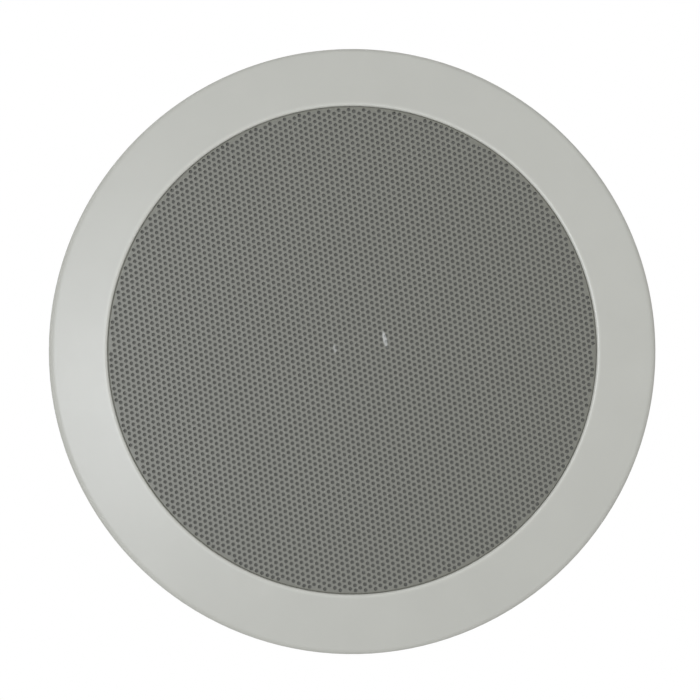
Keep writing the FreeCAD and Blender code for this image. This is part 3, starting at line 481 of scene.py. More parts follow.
def grille_paint():
    """Satin paint with an orange-peel skin, a little thicker in some places than in others, and two painted
    glints.
    """
    place = new_finish("grille_paint", {"Specular IOR Level": 0.35})
    skin = noise(place, 0.3 * MM)
    tone = tinted(noise(place, 30 * MM, detail=3), GRILLE_GREY, 0.96, 1.04)
    # The pale patches are painted glints: reflected light mixed into the paint's colour
    feed(painted_glints(place).mix(tone, GLINT_GREY), uneven(0.42, skin, 0.2), skin, depth=0.01 * MM)


def scrim_cloth():
    """Thin dark cloth behind the grille. Its grey also stands in for shade, and the painted glints lie on it
    too.
    """
    place = new_finish("grille_scrim", {"Sheen Weight": 0.1})
    threads = weave(place, 0.3 * MM)
    tone = tinted(threads, SCRIM_AND_SHADE_GREY, 0.7, 1.3)
    # The same painted glints, so that each stays whole across a hole
    feed(painted_glints(place).mix(tone, GLINT_GREY), 0.9 + threads * 0.1, threads, depth=0.05 * MM)


grille_paint()
scrim_cloth()

# %% [markdown]
# ### Metals
#
# The motor, the screws and the clips are zinc plated: bright, with clouds where the plating is duller.
# Faces that were turned on a lathe keep fine rings about the axis. The basket is pressed steel under a
# black powder coat, and the magnet is fired ferrite, dark and dry.

# %% Plated metal
LATHE_GROOVE = 0.45 * MM
ZINC = srgb(205, 206, 200)
COPPER = (0.78, 0.33, 0.16, 1.0)


def plated_metal(slot, colour, polish, turned=False):
    """Plated metal with a cloudy sheen. Turned faces have fine rings about the axis."""
    place = new_finish(slot, {"Metallic": 1.0})
    clouds = noise(place, 9 * MM, detail=4)
    relief = noise(place, 0.25 * MM)
    if turned:
        relief = (from_axis(place) * (2 * math.pi / LATHE_GROOVE)).sine() * 0.4 + relief
    feed(tinted(clouds, colour, 0.9, 1.06), uneven(polish, clouds, 0.25), relief, depth=0.006 * MM)


plated_metal("plated_steel", ZINC, polish=0.36, turned=True)
plated_metal("bright_trim", srgb(226, 226, 226), polish=0.15)
plated_metal("former_foil", srgb(216, 217, 219), polish=0.3)
plated_metal("copper_wire", COPPER, polish=0.28)
plated_metal("tag_brass", srgb(214, 204, 172), polish=0.32)
plated_metal("tinsel_braid", srgb(206, 150, 108), polish=0.4)


# %% Powder coat and ferrite
def powder_coat(slot, colour):
    """Baked powder paint with a pebbled skin."""
    place = new_finish(slot)
    pebbles = noise(place, 0.9 * MM)
    tone = tinted(noise(place, 20 * MM), colour, 0.85, 1.15)
    feed(tone, uneven(0.42, pebbles, 0.2), pebbles, depth=0.04 * MM)


def sintered_ferrite():
    """Pressed and fired magnet: dark, dry and slightly pitted."""
    place = new_finish("ferrite")
    pits = noise(place, 0.7 * MM, detail=4)
    dust = noise(place, 14 * MM, detail=3).rise(0.4, 0.75)
    tone = dust.mix(srgb(48, 48, 50), srgb(66, 64, 61))
    feed(tone, 0.62 + pits * 0.25, pits.rise(0.3, 0.5), depth=0.03 * MM)


powder_coat("basket_paint", srgb(36, 36, 38))
sintered_ferrite()

# %% [markdown]
# ### Soft pieces
#
# The surround is rubber with a dusty bloom, the spider and the tweeter's dome are woven, and the gasket
# and the pad under the board are foam. The cone is a moulded diaphragm with flecks of mica.

# %% Rubber and cloth
def bloomed_rubber(slot, colour):
    """Matt rubber with a faint dusty bloom."""
    place = new_finish(slot)
    bloom = noise(place, 6 * MM, detail=4).rise(0.35, 0.75)
    skin = noise(place, 0.4 * MM)
    feed(tinted(bloom, colour, 1.0, 1.35), 0.5 + bloom * 0.2, skin, depth=0.01 * MM)


def stiff_cloth(slot, colour, thread):
    """Woven cloth stiffened with resin."""
    place = new_finish(slot, {"Sheen Weight": 0.15})
    threads = weave(place, thread)
    stain = noise(place, 7 * MM, detail=3)
    tone = tinted(threads * 0.6 + stain * 0.4, colour, 0.7, 1.2)
    feed(tone, 0.75 + threads * 0.2, threads, depth=thread * 0.3)


bloomed_rubber("surround_rubber", srgb(34, 34, 35))
stiff_cloth("spider_cloth", srgb(208, 170, 96), thread=0.5 * MM)
stiff_cloth("dome_silk", srgb(44, 44, 50), thread=0.25 * MM)


# %% Foam and cone
def foam(slot, colour):
    """Fine closed-cell foam."""
    place = new_finish(slot)
    inputs = {"Vector": place, "Scale": 1 / (0.6 * MM)}
    cells = place.node("ShaderNodeTexVoronoi", None, inputs, "Distance")
    tone = tinted(cells.rise(0.1, 0.7), colour, 0.6, 1.25)
    feed(tone, 0.85 + cells * 0.1, cells, depth=0.12 * MM)


def mica_cone():
    """Dark moulded diaphragm with fine bright flecks."""
    place = new_finish("cone_plastic")
    flecks = noise(place, 0.25 * MM, detail=1).rise(0.62, 0.75)
    skin = noise(place, 0.6 * MM)
    tone = flecks.mix(srgb(44, 44, 46), srgb(86, 86, 90))
    feed(tone, uneven(0.4, skin, 0.2), skin, depth=0.015 * MM)


foam("gasket_foam", srgb(40, 40, 42))
foam("pad_foam", srgb(58, 58, 60))
mica_cone()

# %% [markdown]
# ### The board
#
# The crossover board has a green solder mask over wide copper tracks, which show through as paler bars.
# The bars could be modelled, but they are thinner than paper, so they are drawn in the shader as the area
# within a small distance of a line.

# %% Board
# The tracks in millimetres, from end to end, across and up. Each runs level first and then upright.
TRACKS = (
    ((-28, 21), (4, 21)),
    ((4, 21), (4, 3)),
    ((4, 3), (22, -2)),
    ((-28, 21), (-28, -3)),
    ((-27, -6), (-8, -6)),
    ((8, -5), (8, 6)),
    ((-4, 21), (-4, 10)),
    ((28, 20), (28, -20)),
    ((-28, -22), (28, -22)),
)
TRACK_HALF_WIDTHS = (1.3 * MM, 1.105 * MM)


def track(x, z, start, end):
    """1 inside a round-ended bar between two points on one level or one upright, 0 outside."""
    middle = [(first + last) / 2 for first, last in zip(start, end)]
    reach = [abs(first - last) / 2 for first, last in zip(start, end)]
    across = ((x - middle[0]).size() - reach[0]).most(0)
    up = ((z - middle[1]).size() - reach[1]).most(0)
    return ((across * across + up * up) ** 0.5).rise(*TRACK_HALF_WIDTHS)


def board_laminate():
    """Green solder mask over copper tracks."""
    place = new_finish("board_laminate", {"Coat Weight": 0.3, "Coat Roughness": 0.2})
    x, _, z = axes(place)
    tracks = 0.0
    for start, end in TRACKS:
        corner = (end[0], start[1])
        for first, last in ((start, corner), (corner, end)):
            ends = [[part * MM for part in point] for point in (first, last)]
            tracks = track(x, z, *ends).most(tracks)
    fibres = weave(place, 0.5 * MM)
    mask = fibres.mix(srgb(24, 74, 44), srgb(30, 84, 50))
    tone = tracks.mix(mask, srgb(58, 118, 66))
    feed(tone, 0.35 + fibres * 0.08, tracks + fibres * 0.1, depth=0.04 * MM)


board_laminate()
print("tracks on the board:", len(TRACKS))

# %% [markdown]
# ### Components and leads
#
# The capacitor is wrapped in yellow film and closed with resin at both ends, the resistor is ceramic, and
# the tag strip is cut from brown laminate. The leads have soft sleeves in three colours.

# %% Components
# Where the capacitor's resin starts and is full, as shares of its length from its middle
RESIN_STARTS = (0.44, 0.45)


def capacitor_film():
    """Yellow film wrap, with pale resin at both ends."""
    place = new_finish("capacitor_film")
    low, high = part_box("capacitor")
    length = high.x - low.x
    x, _, _ = axes(place)
    resin = (x - (low.x + high.x) / 2).size().rise(*(length * share for share in RESIN_STARTS))
    wraps = noise(place, 4 * MM, detail=3)
    film = wraps.mix(srgb(206, 158, 42), srgb(222, 176, 60))
    tone = resin.mix(film, srgb(214, 206, 178))
    feed(tone, 0.22 + resin * 0.5 + wraps * 0.1, wraps, depth=0.02 * MM)


def cement():
    """White ceramic case filled with cement, dry and pitted."""
    place = new_finish("ceramic")
    pits = noise(place, 0.5 * MM, detail=4)
    tone = noise(place, 6 * MM, detail=3).mix(srgb(212, 208, 196), srgb(232, 229, 220))
    feed(tone, 0.75 + pits * 0.2, pits.rise(0.3, 0.55), depth=0.04 * MM)


def laminate_card():
    """Brown paper laminate of the tag strip."""
    place = new_finish("strip_card")
    fibres = noise(place, 0.6 * MM, detail=4)
    tone = fibres.mix(srgb(120, 74, 42), srgb(156, 102, 62))
    feed(tone, 0.45 + fibres * 0.2, fibres, depth=0.02 * MM)


capacitor_film()
cement()
laminate_card()


# %% Lead sleeves
def lead_sleeve(slot, colour):
    """Soft plastic sleeve of a lead."""
    place = new_finish(slot)
    skin = noise(place, 0.5 * MM)
    tone = tinted(noise(place, 5 * MM), colour, 0.88, 1.1)
    feed(tone, uneven(0.4, skin, 0.2), skin, depth=0.02 * MM)


lead_sleeve("lead_red", srgb(176, 28, 26))
lead_sleeve("lead_black", srgb(30, 30, 31))
lead_sleeve("lead_grey", srgb(150, 151, 152))
print("finishes in all:", len(FINISHES))

# %% [markdown]
# ### A finish for every piece
#
# Every engineered piece takes the finish of its slot. Later on, finer meshes stand for some of them.

# %% Give each piece its finish
for part in frame["record"]["subparts"]:
    node = frame["nodes"][part["node"]]
    node.data.materials.clear()
    node.data.materials.append(FINISHES[part["material_slot"]])

# %% [markdown]
# ## Making a new piece
#
# New pieces are drawn lying flat, as on a bench: x to the right, y up and z towards the viewer. One turn
# about x then stands them up as the speaker hangs in its wall.

# %% Helpers for new pieces
FACING = Matrix.Rotation(math.pi / 2, 4, "X")
SMOOTH_BELOW = math.radians(35)


def new_piece(name, bm, slot, body):
    """Stand a drawn mesh up as a piece with the finish of a slot, riding on a body if one is given."""
    bmesh.ops.transform(bm, matrix=FACING, verts=bm.verts)
    mesh = bpy.data.meshes.new(name)
    bm.to_mesh(mesh)
    bm.free()
    mesh.shade_smooth()
    mesh.set_sharp_from_angle(angle=SMOOTH_BELOW)
    mesh.materials.append(FINISHES[slot])
    piece = bpy.data.objects.new(name, mesh)
    bpy.context.collection.objects.link(piece)
    if body:
        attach(piece, body)
    triangles = sum(len(face.vertices) - 2 for face in mesh.polygons)
    print(f"{name}: {triangles} triangles")
    return piece


def verts_of(made):
    """The vertices among what an operator made."""
    return [item for item in made["geom"] if isinstance(item, bmesh.types.BMVert)]


def edges_of(made):
    """The edges among what an operator made."""
    return [item for item in made["geom"] if isinstance(item, bmesh.types.BMEdge)]


def thicken(bm, wall):
    """Turn the faces of a skin to the front and give it a wall behind them."""
    bmesh.ops.recalc_face_normals(bm, faces=bm.faces)
    if sum(face.normal.z * face.calc_area() for face in bm.faces) < 0:
        bmesh.ops.reverse_faces(bm, faces=bm.faces)
    bmesh.ops.solidify(bm, geom=bm.faces[:], thickness=wall)


# %% [markdown]
# ## The perforated grille
#
# The grille is a steel sheet with about six thousand small holes in staggered rows that climb to the
# right, pressed into a shallow dish with a turned-back rim. A texture with holes would look flat from the
# side. Cutting the holes one by one would take very long. Instead a grid is sheared into a triangular
# lattice: bevelling all its corners at once turns each corner into a six-sided face, and deleting those
# faces leaves the holes. Corners just past the edge are first pulled in, so that the holes run right up
# to the rim.

# %% Perforated sheet
HOLE_PITCH = 2.19 * MM
HOLE_CORNER = 0.74 * MM
LATTICE_ANGLE = math.pi / 3
ROW_SLANT = math.radians(36.8)
SHEET = 0.8 * MM
SHOULDER = 0.5 * MM
SEATED = 0.25 * MM
BORDER = 0.06 * MM
PULLED_IN = 0.5 * MM
# The sheared grid is narrower across its slant, so it starts that much larger than the sheet
GRID_SHARE = 1.6

grille_low, grille_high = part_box("grille")
grille_radius = grille_high.x + SEATED
grille_front = -grille_low.y
flat_radius = grille_radius - SHOULDER
field_radius = flat_radius - HOLE_CORNER - BORDER
cells = 2 * math.ceil(GRID_SHARE * flat_radius / HOLE_PITCH)

bm = bmesh.new()
bmesh.ops.create_grid(bm, x_segments=cells, y_segments=cells, size=cells * HOLE_PITCH / 2)
lean = Matrix.Identity(4)
lean[0][1] = math.cos(LATTICE_ANGLE)
lean[1][1] = math.sin(LATTICE_ANGLE)
bmesh.ops.transform(bm, matrix=Matrix.Rotation(ROW_SLANT, 4, "Z") @ lean, verts=bm.verts)
bmesh.ops.triangulate(bm, faces=bm.faces, quad_method="SHORT_EDGE")
for vert in bm.verts:
    if field_radius < vert.co.length < field_radius + PULLED_IN:
        vert.co = vert.co.normalized() * (field_radius - BORDER)
outside = [face for face in bm.faces if min(vert.co.length for vert in face.verts) > field_radius]
bmesh.ops.delete(bm, geom=outside, context="FACES")
edge_of_field = {vert for vert in bm.verts if vert.is_boundary}
corners = [vert for vert in bm.verts if vert not in edge_of_field]
cut = {"segments": 1, "profile": 0.5, "affect": "VERTICES", "material": -1}
made = bmesh.ops.bevel(bm, geom=corners, offset=HOLE_CORNER, **cut)
bmesh.ops.delete(bm, geom=made["faces"], context="FACES_ONLY")
print("holes:", len(corners))

# %% [markdown]
# The field has a ragged edge. It could be trimmed with a round cutter, but no hole touches its outermost
# corners, so they are simply moved onto a circle. That circle is then drawn out ring by ring, round the
# shoulder and back to the baffle. Last, the whole skin gets the sheet's thickness.

# %% Rim of the grille
SHOULDER_STEPS = 4

rings = []
for step in range(1, SHOULDER_STEPS + 1):
    turn = math.pi / 2 * step / SHOULDER_STEPS
    rings.append((flat_radius + SHOULDER * math.sin(turn), SHOULDER * (math.cos(turn) - 1)))
rings.append((grille_radius, -grille_front))

for vert in edge_of_field:
    vert.co = vert.co.normalized() * flat_radius
rim = [edge for edge in bm.edges if edge.is_boundary and edge_of_field.issuperset(edge.verts)]
print("edges round the field:", len(rim))
for radius, level in rings:
    made = bmesh.ops.extrude_edge_only(bm, edges=rim)
    for vert in verts_of(made):
        vert.co = vert.co.xy.normalized().to_3d() * radius + Vector((0, 0, level))
    rim = [edge for edge in edges_of(made) if edge.is_boundary]
bmesh.ops.translate(bm, verts=bm.verts, vec=(0, 0, grille_front))
thicken(bm, SHEET)
grille = new_piece("perforated_grille", bm, "grille_paint", "root")
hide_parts("grille")

# %% [markdown]
# ## Cloth behind the grille
#
# A thin dark cloth is glued to the back of the grille and hides the driver. Its dark grey is partly its
# own colour and partly painted shade, for the dark inside of the speaker seen through the holes. It could
# be left out, but then the holes would show the bright frame behind them. It is a plain disc with a wall,
# because glue holds it flat.

# %% Cloth behind the grille
CLOTH = 0.3 * MM
CLOTH_EDGES = 160
cloth_radius = grille_radius - SHEET - BORDER
cloth_front = -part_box("grille_cloth")[0].y

bm = bmesh.new()
bmesh.ops.create_circle(bm, cap_ends=True, radius=cloth_radius, segments=CLOTH_EDGES)
bmesh.ops.translate(bm, verts=bm.verts, vec=(0, 0, cloth_front))
thicken(bm, CLOTH)
scrim = new_piece("scrim", bm, "grille_scrim", "root")
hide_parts("grille_cloth")

# %% [markdown]
# ## Round pieces of the driver
#
# The surround, the spider, the magnet, the yoke and the gasket are moulded, pressed, turned or cut about
# one axis. Each could be put together from rings and cylinders, but half of its section is enough: a full
# spin makes the piece from it.

# %% Helpers for round pieces
MERGE_WITHIN = 0.001 * MM
# In radians, about sixty degrees
SHARP_ABOVE = 1.0
ROUNDED = {"profile": 0.5, "affect": "EDGES", "material": -1}


def bore_of(node):
    """The smallest distance of an engineered piece from the axis."""
    return min(vert.co.xz.length for vert in frame["nodes"][node].data.vertices)


def spun(profile, steps, closed):
    """A mesh spun about the z axis from a chain of points, each a radius and a level."""
    bm = bmesh.new()
    verts = [bm.verts.new((radius, 0, level)) for radius, level in profile]
    ends = verts[1:] + verts[:1] if closed else verts[1:]
    edges = [bm.edges.new(pair) for pair in zip(verts, ends)]
    turn = {"cent": (0, 0, 0), "axis": (0, 0, 1), "angle": 2 * math.pi}
    bmesh.ops.spin(bm, geom=verts + edges, steps=steps, use_merge=True, **turn)
    bmesh.ops.remove_doubles(bm, verts=bm.verts, dist=MERGE_WITHIN)
    bmesh.ops.recalc_face_normals(bm, faces=bm.faces)
    return bm


def round_off(bm, radius, segments=3):
    """Round every sharp edge."""
    sharp = [edge for edge in bm.edges if edge.calc_face_angle(0) > SHARP_ABOVE]
    bmesh.ops.bevel(bm, geom=sharp, offset=radius, segments=segments, clamp_overlap=True, **ROUNDED)


def follow_cone(piece, inner, outer):
    """Let a round piece follow the cone inside one radius and the frame outside another."""
    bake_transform(piece, "root", "moving_cone", start=(outer, 0, 0), end=(inner, 0, 0))
    # The blend runs along one line, so each point's share is set again by its distance from the axis
    shares = piece.data.attributes["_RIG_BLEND"].data
    for vert, share in zip(piece.data.vertices, shares):
        along = min(max((outer - vert.co.xz.length) / (outer - inner), 0), 1)
        share.value = along * along * (3 - 2 * along)


# %% [markdown]
# ### Surround
#
# The surround is a half roll of rubber between two flat lips. Its inner lip is glued to the cone and its
# outer lip to the basket, so when the cone moves the roll has to bend between them.

# %% Surround
ROLL = 5 * MM
RUBBER = 0.6 * MM
CONE_LIP = 3 * MM
ROLL_STEPS = 18
SURROUND_STEPS = 160

cone_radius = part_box("cone")[1].x
driver_face = -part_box("cone")[0].y
surround_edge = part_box("surround")[1].x
roll_middle = cone_radius + ROLL
lip_level = driver_face + RUBBER
roll_start = math.asin(RUBBER / ROLL)

profile = [(cone_radius - CONE_LIP, lip_level)]
for step in range(ROLL_STEPS + 1):
    turn = math.pi - roll_start - step / ROLL_STEPS * (math.pi - 2 * roll_start)
    profile.append((roll_middle + ROLL * math.cos(turn), driver_face + ROLL * math.sin(turn)))
profile.append((surround_edge, lip_level))
bm = spun(profile, SURROUND_STEPS, closed=False)
thicken(bm, RUBBER)
surround = new_piece("surround_roll", bm, "surround_rubber", None)
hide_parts("surround")
follow_cone(surround, cone_radius, cone_radius + 2 * ROLL)

# %% [markdown]
# ### Spider
#
# The spider is a disc of cloth, dipped in resin and pressed into rings of waves, so that the coil can
# move along the axis and not sideways. The waves are drawn as a cosine that dies out at both ends.

# %% Spider
SPIDER_CLOTH = 0.5 * MM
SPIDER_WAVE = 1.2 * MM
SPIDER_LIP = 5 * MM
HALF_WAVES = 10
WAVE_STEPS = 6
SPIDER_STEPS = 112

spider_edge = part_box("spider")[1].x
spider_front = -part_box("spider")[0].y - SPIDER_WAVE
neck = bore_of("spider")
cup = spider_edge - SPIDER_LIP
profile = []
for step in range(HALF_WAVES * WAVE_STEPS + 1):
    wave = step / WAVE_STEPS
    swing = -math.cos(math.pi * wave) * min(wave, HALF_WAVES - wave, 1)
    profile.append((neck + wave / HALF_WAVES * (cup - neck), spider_front + swing * SPIDER_WAVE))
profile.append((spider_edge, spider_front))
bm = spun(profile, SPIDER_STEPS, closed=False)
thicken(bm, SPIDER_CLOTH)
spider = new_piece("spider_waves", bm, "spider_cloth", None)
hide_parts("spider")
follow_cone(spider, neck, cup)

# %% [markdown]
# ### Magnet and yoke
#
# The magnet is a fired ring with slightly blunt edges. The yoke is a turned steel plate with a pole in
# its middle.

# %% Magnet and yoke
POLE_RADIUS = 11.9 * MM
BLUNT = 0.8 * MM
MOTOR_STEPS = 144

magnet_low, magnet_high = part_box("magnet")
front, back = -magnet_low.y, -magnet_high.y
inner, outer = bore_of("magnet"), magnet_high.x
section = [(inner, front), (outer, front), (outer, back), (inner, back)]
bm = spun(section, MOTOR_STEPS, closed=True)
round_off(bm, BLUNT)
magnet = new_piece("magnet_ring", bm, "ferrite", "root")
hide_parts("magnet")

yoke_low, yoke_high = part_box("yoke")
outer = yoke_high.x
end = -yoke_high.y
pole = [(0, -yoke_low.y), (POLE_RADIUS, -yoke_low.y), (POLE_RADIUS, back)]
plate = [(outer, back), (outer, end), (0, end)]
bm = spun(pole + plate, MOTOR_STEPS, closed=False)
round_off(bm, BLUNT)
yoke = new_piece("yoke_plate", bm, "plated_steel", "root")
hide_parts("yoke")

# %% [markdown]
# ### Gasket
#
# The gasket is a foam ring that the driver squeezes against the frame. A plain ring would look hard, so
# its sides bulge a little.

# %% Gasket
GASKET_BULGE = 0.25 * MM

gasket_low, gasket_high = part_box("driver_gasket")
front, back = -gasket_low.y, -gasket_high.y
middle = (front + back) / 2
outer = gasket_high.x - GASKET_BULGE
inner = bore_of("driver_gasket") + GASKET_BULGE
inside = [(inner, front), (inner - GASKET_BULGE, middle), (inner, back)]
outside = [(outer, back), (outer + GASKET_BULGE, middle), (outer, front)]
bm = spun(inside + outside, MOTOR_STEPS, closed=True)
gasket = new_piece("gasket_ring", bm, "gasket_foam", "root")
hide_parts("driver_gasket")

# %% [markdown]
# ## Leads
#
# Short leads join the board to the woofer's blades and to the tweeter, and two limp braids join the
# blades to the cone. Each could be a chain of tubes, but it would look like bent wire, so it is one
# smooth curve that is led from one soldered end to the other by a few listed points.

# %% Helpers for leads
def line(route, mirrored=False):
    """The points of a route in millimetres, stood up as every new piece is, or mirrored across x."""
    side = -MM if mirrored else MM
    return [FACING @ Vector((x * side, y * MM, z * MM)) for x, y, z in route]


def strand(name, routes, radius):
    """A curve object with one smooth round strand for each route."""
    curve = bpy.data.curves.new(name, "CURVE")
    curve.dimensions = "3D"
    curve.bevel_depth = radius
    curve.bevel_resolution = 3
    curve.resolution_u = 8
    curve.use_fill_caps = True
    for route in routes:
        spline = curve.splines.new("NURBS")
        spline.points.add(len(route) - 1)
        for point, place in zip(spline.points, route):
            point.co = (*place, 1)
        spline.order_u = 3
        spline.use_endpoint_u = True
    made = bpy.data.objects.new(name, curve)
    bpy.context.collection.objects.link(made)
    return made


def strand_piece(name, routes, radius, slot, node=None):
    """Strands that stay with the frame, and stand for an engineered lead if there is one."""
    made = strand(name, routes, radius)
    made.data.materials.append(FINISHES[slot])
    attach(made, "root")
    if node:
        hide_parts(node)
    print(f"{name}: {len(routes)} strands")


# %% Leads
WOOFER_LEAD = 0.9 * MM
TWEETER_LEAD = 1.0 * MM
WOOFER_ROUTE = (
    (4, 21, -65.2), (4, 21.5, -71.5), (4, 27.5, -76.5), (4.2, 35.5, -76), (4.5, 42.5, -70),
    (4.8, 46.8, -61), (5, 49, -51), (5, 49.3, -42), (5, 48.8, -34),
)
TWEETER_ROUTE = (
    (-27, -6, -65.4), (-28, -6, -71), (-35, -3.5, -75), (-45, 1.5, -70.5), (-53, 7.5, -60),
    (-59, 13.5, -47.5), (-65, 20, -35.5), (-70, 25.5, -24), (-73.5, 28, -13.5), (-74.5, 24.5, -5.5),
    (-74, 15.5, 1.3), (-66, 9.7, 1.3), (-52, 9.3, 1.3), (-36, 9.4, 1.3), (-18.2, 9.3, 1.3),
)
positive = line(WOOFER_ROUTE)
negative = line(WOOFER_ROUTE, mirrored=True)
strand_piece("lead_positive", [positive], WOOFER_LEAD, "lead_red", "woofer_lead_positive")
strand_piece("lead_negative", [negative], WOOFER_LEAD, "lead_black", "woofer_lead_negative")
strand_piece("lead_tweeter", [line(TWEETER_ROUTE)], TWEETER_LEAD, "lead_grey", "tweeter_lead")

# %% [markdown]
# The braids end on the cone, so they bend as it moves. That works on a mesh, so each curve is turned into
# one.

# %% Limp braids
BRAID = 0.4 * MM
BRAID_ROUTE = (
    (5, 46.5, -28.2), (5, 44.2, -24.6), (5, 40.3, -22.4),
    (4.6, 36.2, -20.2), (4.4, 34, -16.4), (4.4, 33.6, -12.8),
)
for side, mirrored in (("positive", False), ("negative", True)):
    route = line(BRAID_ROUTE, mirrored)
    guide = strand(f"braid_guide_{side}", [route], BRAID)
    mesh = bpy.data.meshes.new_from_object(guide)
    bpy.data.objects.remove(guide)
    mesh.materials.append(FINISHES["tinsel_braid"])
    braid = bpy.data.objects.new(f"braid_{side}", mesh)
    bpy.context.collection.objects.link(braid)
    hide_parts(f"tinsel_lead_{side}")
    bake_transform(braid, "root", "moving_cone", start=route[0], end=route[-1])
    print(braid.name, len(mesh.vertices), "points")

# %% [markdown]
# ## What is on the board
#
# The choke is a copper wire wound on a bobbin. Its turns could be rings, but a real winding climbs, so a
# small eight-sided outline is spun while it moves along the axis. The bulk below the outer layer is one
# ring.

# %% Choke
WIRE = 0.5 * MM
WIRE_SIDES = 8
CORE_RADIUS = 4 * MM
TURN_STEPS = 36
CHOKE_STEPS = 48


def coiled(bm, corners, pitch, turns, steps):
    """Spin a closed outline about the z axis while it climbs."""
    verts = [bm.verts.new((radius, 0, level)) for radius, level in corners]
    face = bm.faces.new(verts)
    count = round(turns * steps)
    path = {"cent": (0, 0, 0), "axis": (0, 0, 1), "dvec": (0, 0, pitch / steps)}
    angle = count / steps * 2 * math.pi
    bmesh.ops.spin(bm, geom=[face, *face.edges, *verts], angle=angle, steps=count, **path)


winding_low, winding_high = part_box("choke_winding")
choke_axis = (winding_low + winding_high) / 2
winding_radius = (winding_high.x - winding_low.x) / 2
height = winding_high.y - winding_low.y
bulk = winding_radius - WIRE
outline = []
for side in range(WIRE_SIDES):
    turn = 2 * math.pi * side / WIRE_SIDES
    outline.append((bulk + WIRE * math.cos(turn), WIRE + WIRE * math.sin(turn)))
section = [(CORE_RADIUS, 0), (bulk, 0), (bulk, height), (CORE_RADIUS, height)]
bm = spun(section, CHOKE_STEPS, closed=True)
coiled(bm, outline, 2 * WIRE, height / (2 * WIRE) - 1, TURN_STEPS)
bmesh.ops.recalc_face_normals(bm, faces=bm.faces)
bmesh.ops.translate(bm, verts=bm.verts, vec=(choke_axis.x, choke_axis.z, -winding_high.y))
winding = new_piece("choke_turns", bm, "copper_wire", "root")
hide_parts("choke_winding")

# %% [markdown]
# A brass eyelet through the bobbin rivets the choke to the board. Its rolled lip is half of a ring, so
# half of a circle is spun about the choke's axis.

# %% Eyelet of the choke
EYELET_RADIUS = 2.6 * MM
EYELET_LIP = 0.7 * MM
LIP_STEPS = 8

bobbin_face = -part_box("choke_bobbin")[1].y
profile = []
for step in range(LIP_STEPS + 1):
    turn = math.pi * step / LIP_STEPS
    radius = EYELET_RADIUS + EYELET_LIP * math.cos(turn)
    profile.append((radius, bobbin_face - EYELET_LIP * math.sin(turn)))
bm = spun(profile, CHOKE_STEPS, closed=True)
bmesh.ops.translate(bm, verts=bm.verts, vec=(choke_axis.x, choke_axis.z, 0))
new_piece("choke_eyelet", bm, "tag_brass", "root")

# %% [markdown]
# Wire legs join the components to the board, and a small dome of solder sits where each leg or lead meets
# it.

# %% Legs and solder
LEG = 0.4 * MM
# The places and sizes that follow are in millimetres
BOARD_FACE = -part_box("crossover_board")[1].y / MM
LEGS = (
    ((-27.5, 15, -71.2), (-29.6, 15, -71.2), (-30.3, 15, -70.4), (-30.3, 15, BOARD_FACE)),
    ((-4.5, 15, -71.2), (-2.4, 15, -71.2), (-1.7, 15, -70.4), (-1.7, 15, BOARD_FACE)),
    ((-27.5, 2, -68.6), (-29.4, 2, -68.6), (-30.1, 2, -67.8), (-30.1, 2, BOARD_FACE)),
    ((-8.5, 2, -68.6), (-6.4, 2, -68.6), (-5.7, 2, -67.8), (-5.7, 2, BOARD_FACE)),
)
CHOKE_TAILS = (
    ((26.3, 11.5, -67.3), (28.4, 14, -67.5), (29.6, 16.6, -67), (29.6, 17.6, BOARD_FACE)),
    ((16, 0.6, -67.3), (14.4, -1.6, -67.5), (12.6, -3, -67), (12, -3.2, BOARD_FACE)),
)
SOLDERED = ((4, 21), (-4, 21), (-27, -6), (8, -3.6), (-8, -3.6))
ON_BLADES = ((5, 48.4, -34.6), (-5, 48.4, -34.6))
SOLDER_DOME = (1.5, 1.5, 0.9)
SOLDER_BEAD = (1.3, 1.0, 1.8)

strand_piece("component_legs", [line(route) for route in LEGS], LEG, "tag_brass")
strand_piece("choke_tails", [line(route) for route in CHOKE_TAILS], WIRE, "copper_wire")
domes = [(across, up, BOARD_FACE) for across, up in SOLDERED]
domes += [route[-1] for route in LEGS + CHOKE_TAILS]
bm = bmesh.new()
for places, radii in ((domes, SOLDER_DOME), (ON_BLADES, SOLDER_BEAD)):
    for place in places:
        shape = Matrix.Translation(Vector(place) * MM) @ Matrix.Diagonal((*(Vector(radii) * MM), 1))
        bmesh.ops.create_uvsphere(bm, u_segments=16, v_segments=8, radius=1, matrix=shape)
new_piece("solder_joints", bm, "plated_steel", "root")

# %% [markdown]
# The resistor is a ceramic trough filled with cement, and the push buttons have a shallow dish for a
# finger. Both start as a block: its edges are rounded, and then the outer face is inset and pushed in.

# %% Helpers for blocks
def block_like(node, corner, segments):
    """A block as large as an engineered piece, with its upright edges rounded."""
    low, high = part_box(node)
    middle = (low + high) / 2
    size = Matrix.Diagonal((high.x - low.x, high.z - low.z, high.y - low.y, 1))
    place = Matrix.Translation((middle.x, middle.z, -middle.y))
    bm = bmesh.new()
    bmesh.ops.create_cube(bm, size=1, matrix=place @ size)
    upright = [edge for edge in bm.edges if abs(edge.verts[0].co.z - edge.verts[1].co.z) > MERGE_WITHIN]
    bmesh.ops.bevel(bm, geom=upright, offset=corner, segments=segments, **ROUNDED)
    return bm


def outer_face(bm):
    """The face at the back, which looks away from the room."""
    return min(bm.faces, key=lambda face: face.calc_center_median().z)


def dished_block(node, corner, edge, rim, dish):
    """A block with rounded edges and a dish in its outer face."""
    bm = block_like(node, corner, segments=4)
    bmesh.ops.bevel(bm, geom=outer_face(bm).edges[:], offset=edge, segments=3, **ROUNDED)
    face = outer_face(bm)
    bmesh.ops.inset_region(bm, faces=[face], thickness=rim)
    made = bmesh.ops.inset_region(bm, faces=[face], thickness=rim / 2, depth=-dish)
    print(node, "dish of", len(made["faces"]), "sides")
    return bm


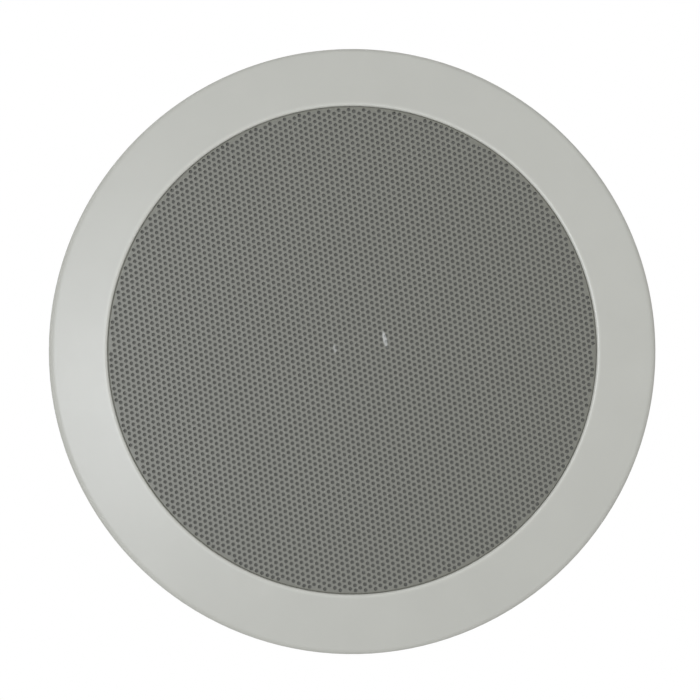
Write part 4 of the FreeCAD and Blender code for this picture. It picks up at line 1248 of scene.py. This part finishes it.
# %% Resistor and buttons
bm = dished_block("resistor", corner=1.5 * MM, edge=0.3 * MM, rim=0.7 * MM, dish=0.4 * MM)
resistor = new_piece("resistor_trough", bm, "ceramic", "root")
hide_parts("resistor")
for side, slot in (("positive", "button_red"), ("negative", "button_black")):
    node = f"terminal_button_{side}"
    bm = dished_block(node, corner=1.5 * MM, edge=0.4 * MM, rim=0.6 * MM, dish=0.4 * MM)
    button = new_piece(f"push_button_{side}", bm, slot, f"button_{side}")
    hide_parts(node)

# %% [markdown]
# A raised plus and minus are moulded beside the buttons. They could be set as text, but each is only a
# few faces of a grid of three by three, drawn out.

# %% Plus and minus
MARK = 2.7 * MM
MARK_HEIGHT = 0.25 * MM
# Across and up in millimetres, and whether the upright stroke is there
MARK_PLACES = ((14.3, -11.6, True), (-14.3, -11.6, False))
block_face = -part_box("terminal_block")[1].y

for across, up, plus in MARK_PLACES:
    bm = bmesh.new()
    bmesh.ops.create_grid(bm, x_segments=3, y_segments=3, size=MARK / 2)
    cell = MARK / 3
    unwanted = []
    for face in bm.faces:
        centre = face.calc_center_median()
        off_row = abs(centre.y) > cell / 2
        if off_row and (abs(centre.x) > cell / 2 or not plus):
            unwanted.append(face)
    bmesh.ops.delete(bm, geom=unwanted, context="FACES")
    made = bmesh.ops.extrude_face_region(bm, geom=bm.faces[:])
    bmesh.ops.translate(bm, verts=verts_of(made), vec=(0, 0, -MARK_HEIGHT))
    bmesh.ops.recalc_face_normals(bm, faces=bm.faces)
    round_off(bm, MARK_HEIGHT / 3, segments=1)
    bmesh.ops.translate(bm, verts=bm.verts, vec=(across * MM, up * MM, block_face))
    new_piece("mark_plus" if plus else "mark_minus", bm, "black_plastic", "root")

# %% [markdown]
# ## Clamp threads
#
# The engineered clamp screws are plain rods. Their thread is one ridge that climbs round the rod, so it
# is made like the winding of the choke, from an outline of four corners.

# %% Clamp threads
CLAMPS = 4
THREAD_PITCH = 1.25 * MM
THREAD_STEPS = 20
THREAD_START = -46.5 * MM
THREAD_END = -13 * MM
# Radius and level of each corner in millimetres
THREAD_OUTLINE = ((2.1, 0), (2.5, 0.5), (2.5, 0.65), (2.1, 1.15))

outline = [(radius * MM, level * MM) for radius, level in THREAD_OUTLINE]
turns = (THREAD_END - THREAD_START) / THREAD_PITCH - 1
for number in range(1, CLAMPS + 1):
    screw_low, screw_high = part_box(f"clamp_screw_{number}")
    middle = (screw_low + screw_high) / 2
    bm = bmesh.new()
    coiled(bm, outline, THREAD_PITCH, turns, THREAD_STEPS)
    bmesh.ops.recalc_face_normals(bm, faces=bm.faces)
    bmesh.ops.translate(bm, verts=bm.verts, vec=(middle.x, middle.z, THREAD_START))
    new_piece(f"clamp_thread_{number}", bm, "plated_steel", f"screw_{number}")

# %% [markdown]
# ## Foam pad
#
# A thin foam pad keeps the board off the steel of the motor. It is a slab with rounded corners and soft
# edges.

# %% Foam pad
PAD_CORNER = 3 * MM
PAD_EDGE = 0.3 * MM

bm = block_like("board_pad", PAD_CORNER, segments=6)
round_off(bm, PAD_EDGE)
pad = new_piece("foam_pad", bm, "pad_foam", "root")
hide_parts("board_pad")

# %% [markdown]
# ## Sizes
#
# The sizes of the engineered object's box and of the dressed one's are printed, so that they can be
# compared. The dressed object has to stay within the engineered one's box.

# %% Sizes
boxes = {"cad": [list(corner) for corner in cad_box], "visual": [list(corner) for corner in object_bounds()]}
for name, (low, high) in boxes.items():
    print(name, [round((last - first) / MM, 1) for first, last in zip(low, high)], "mm")
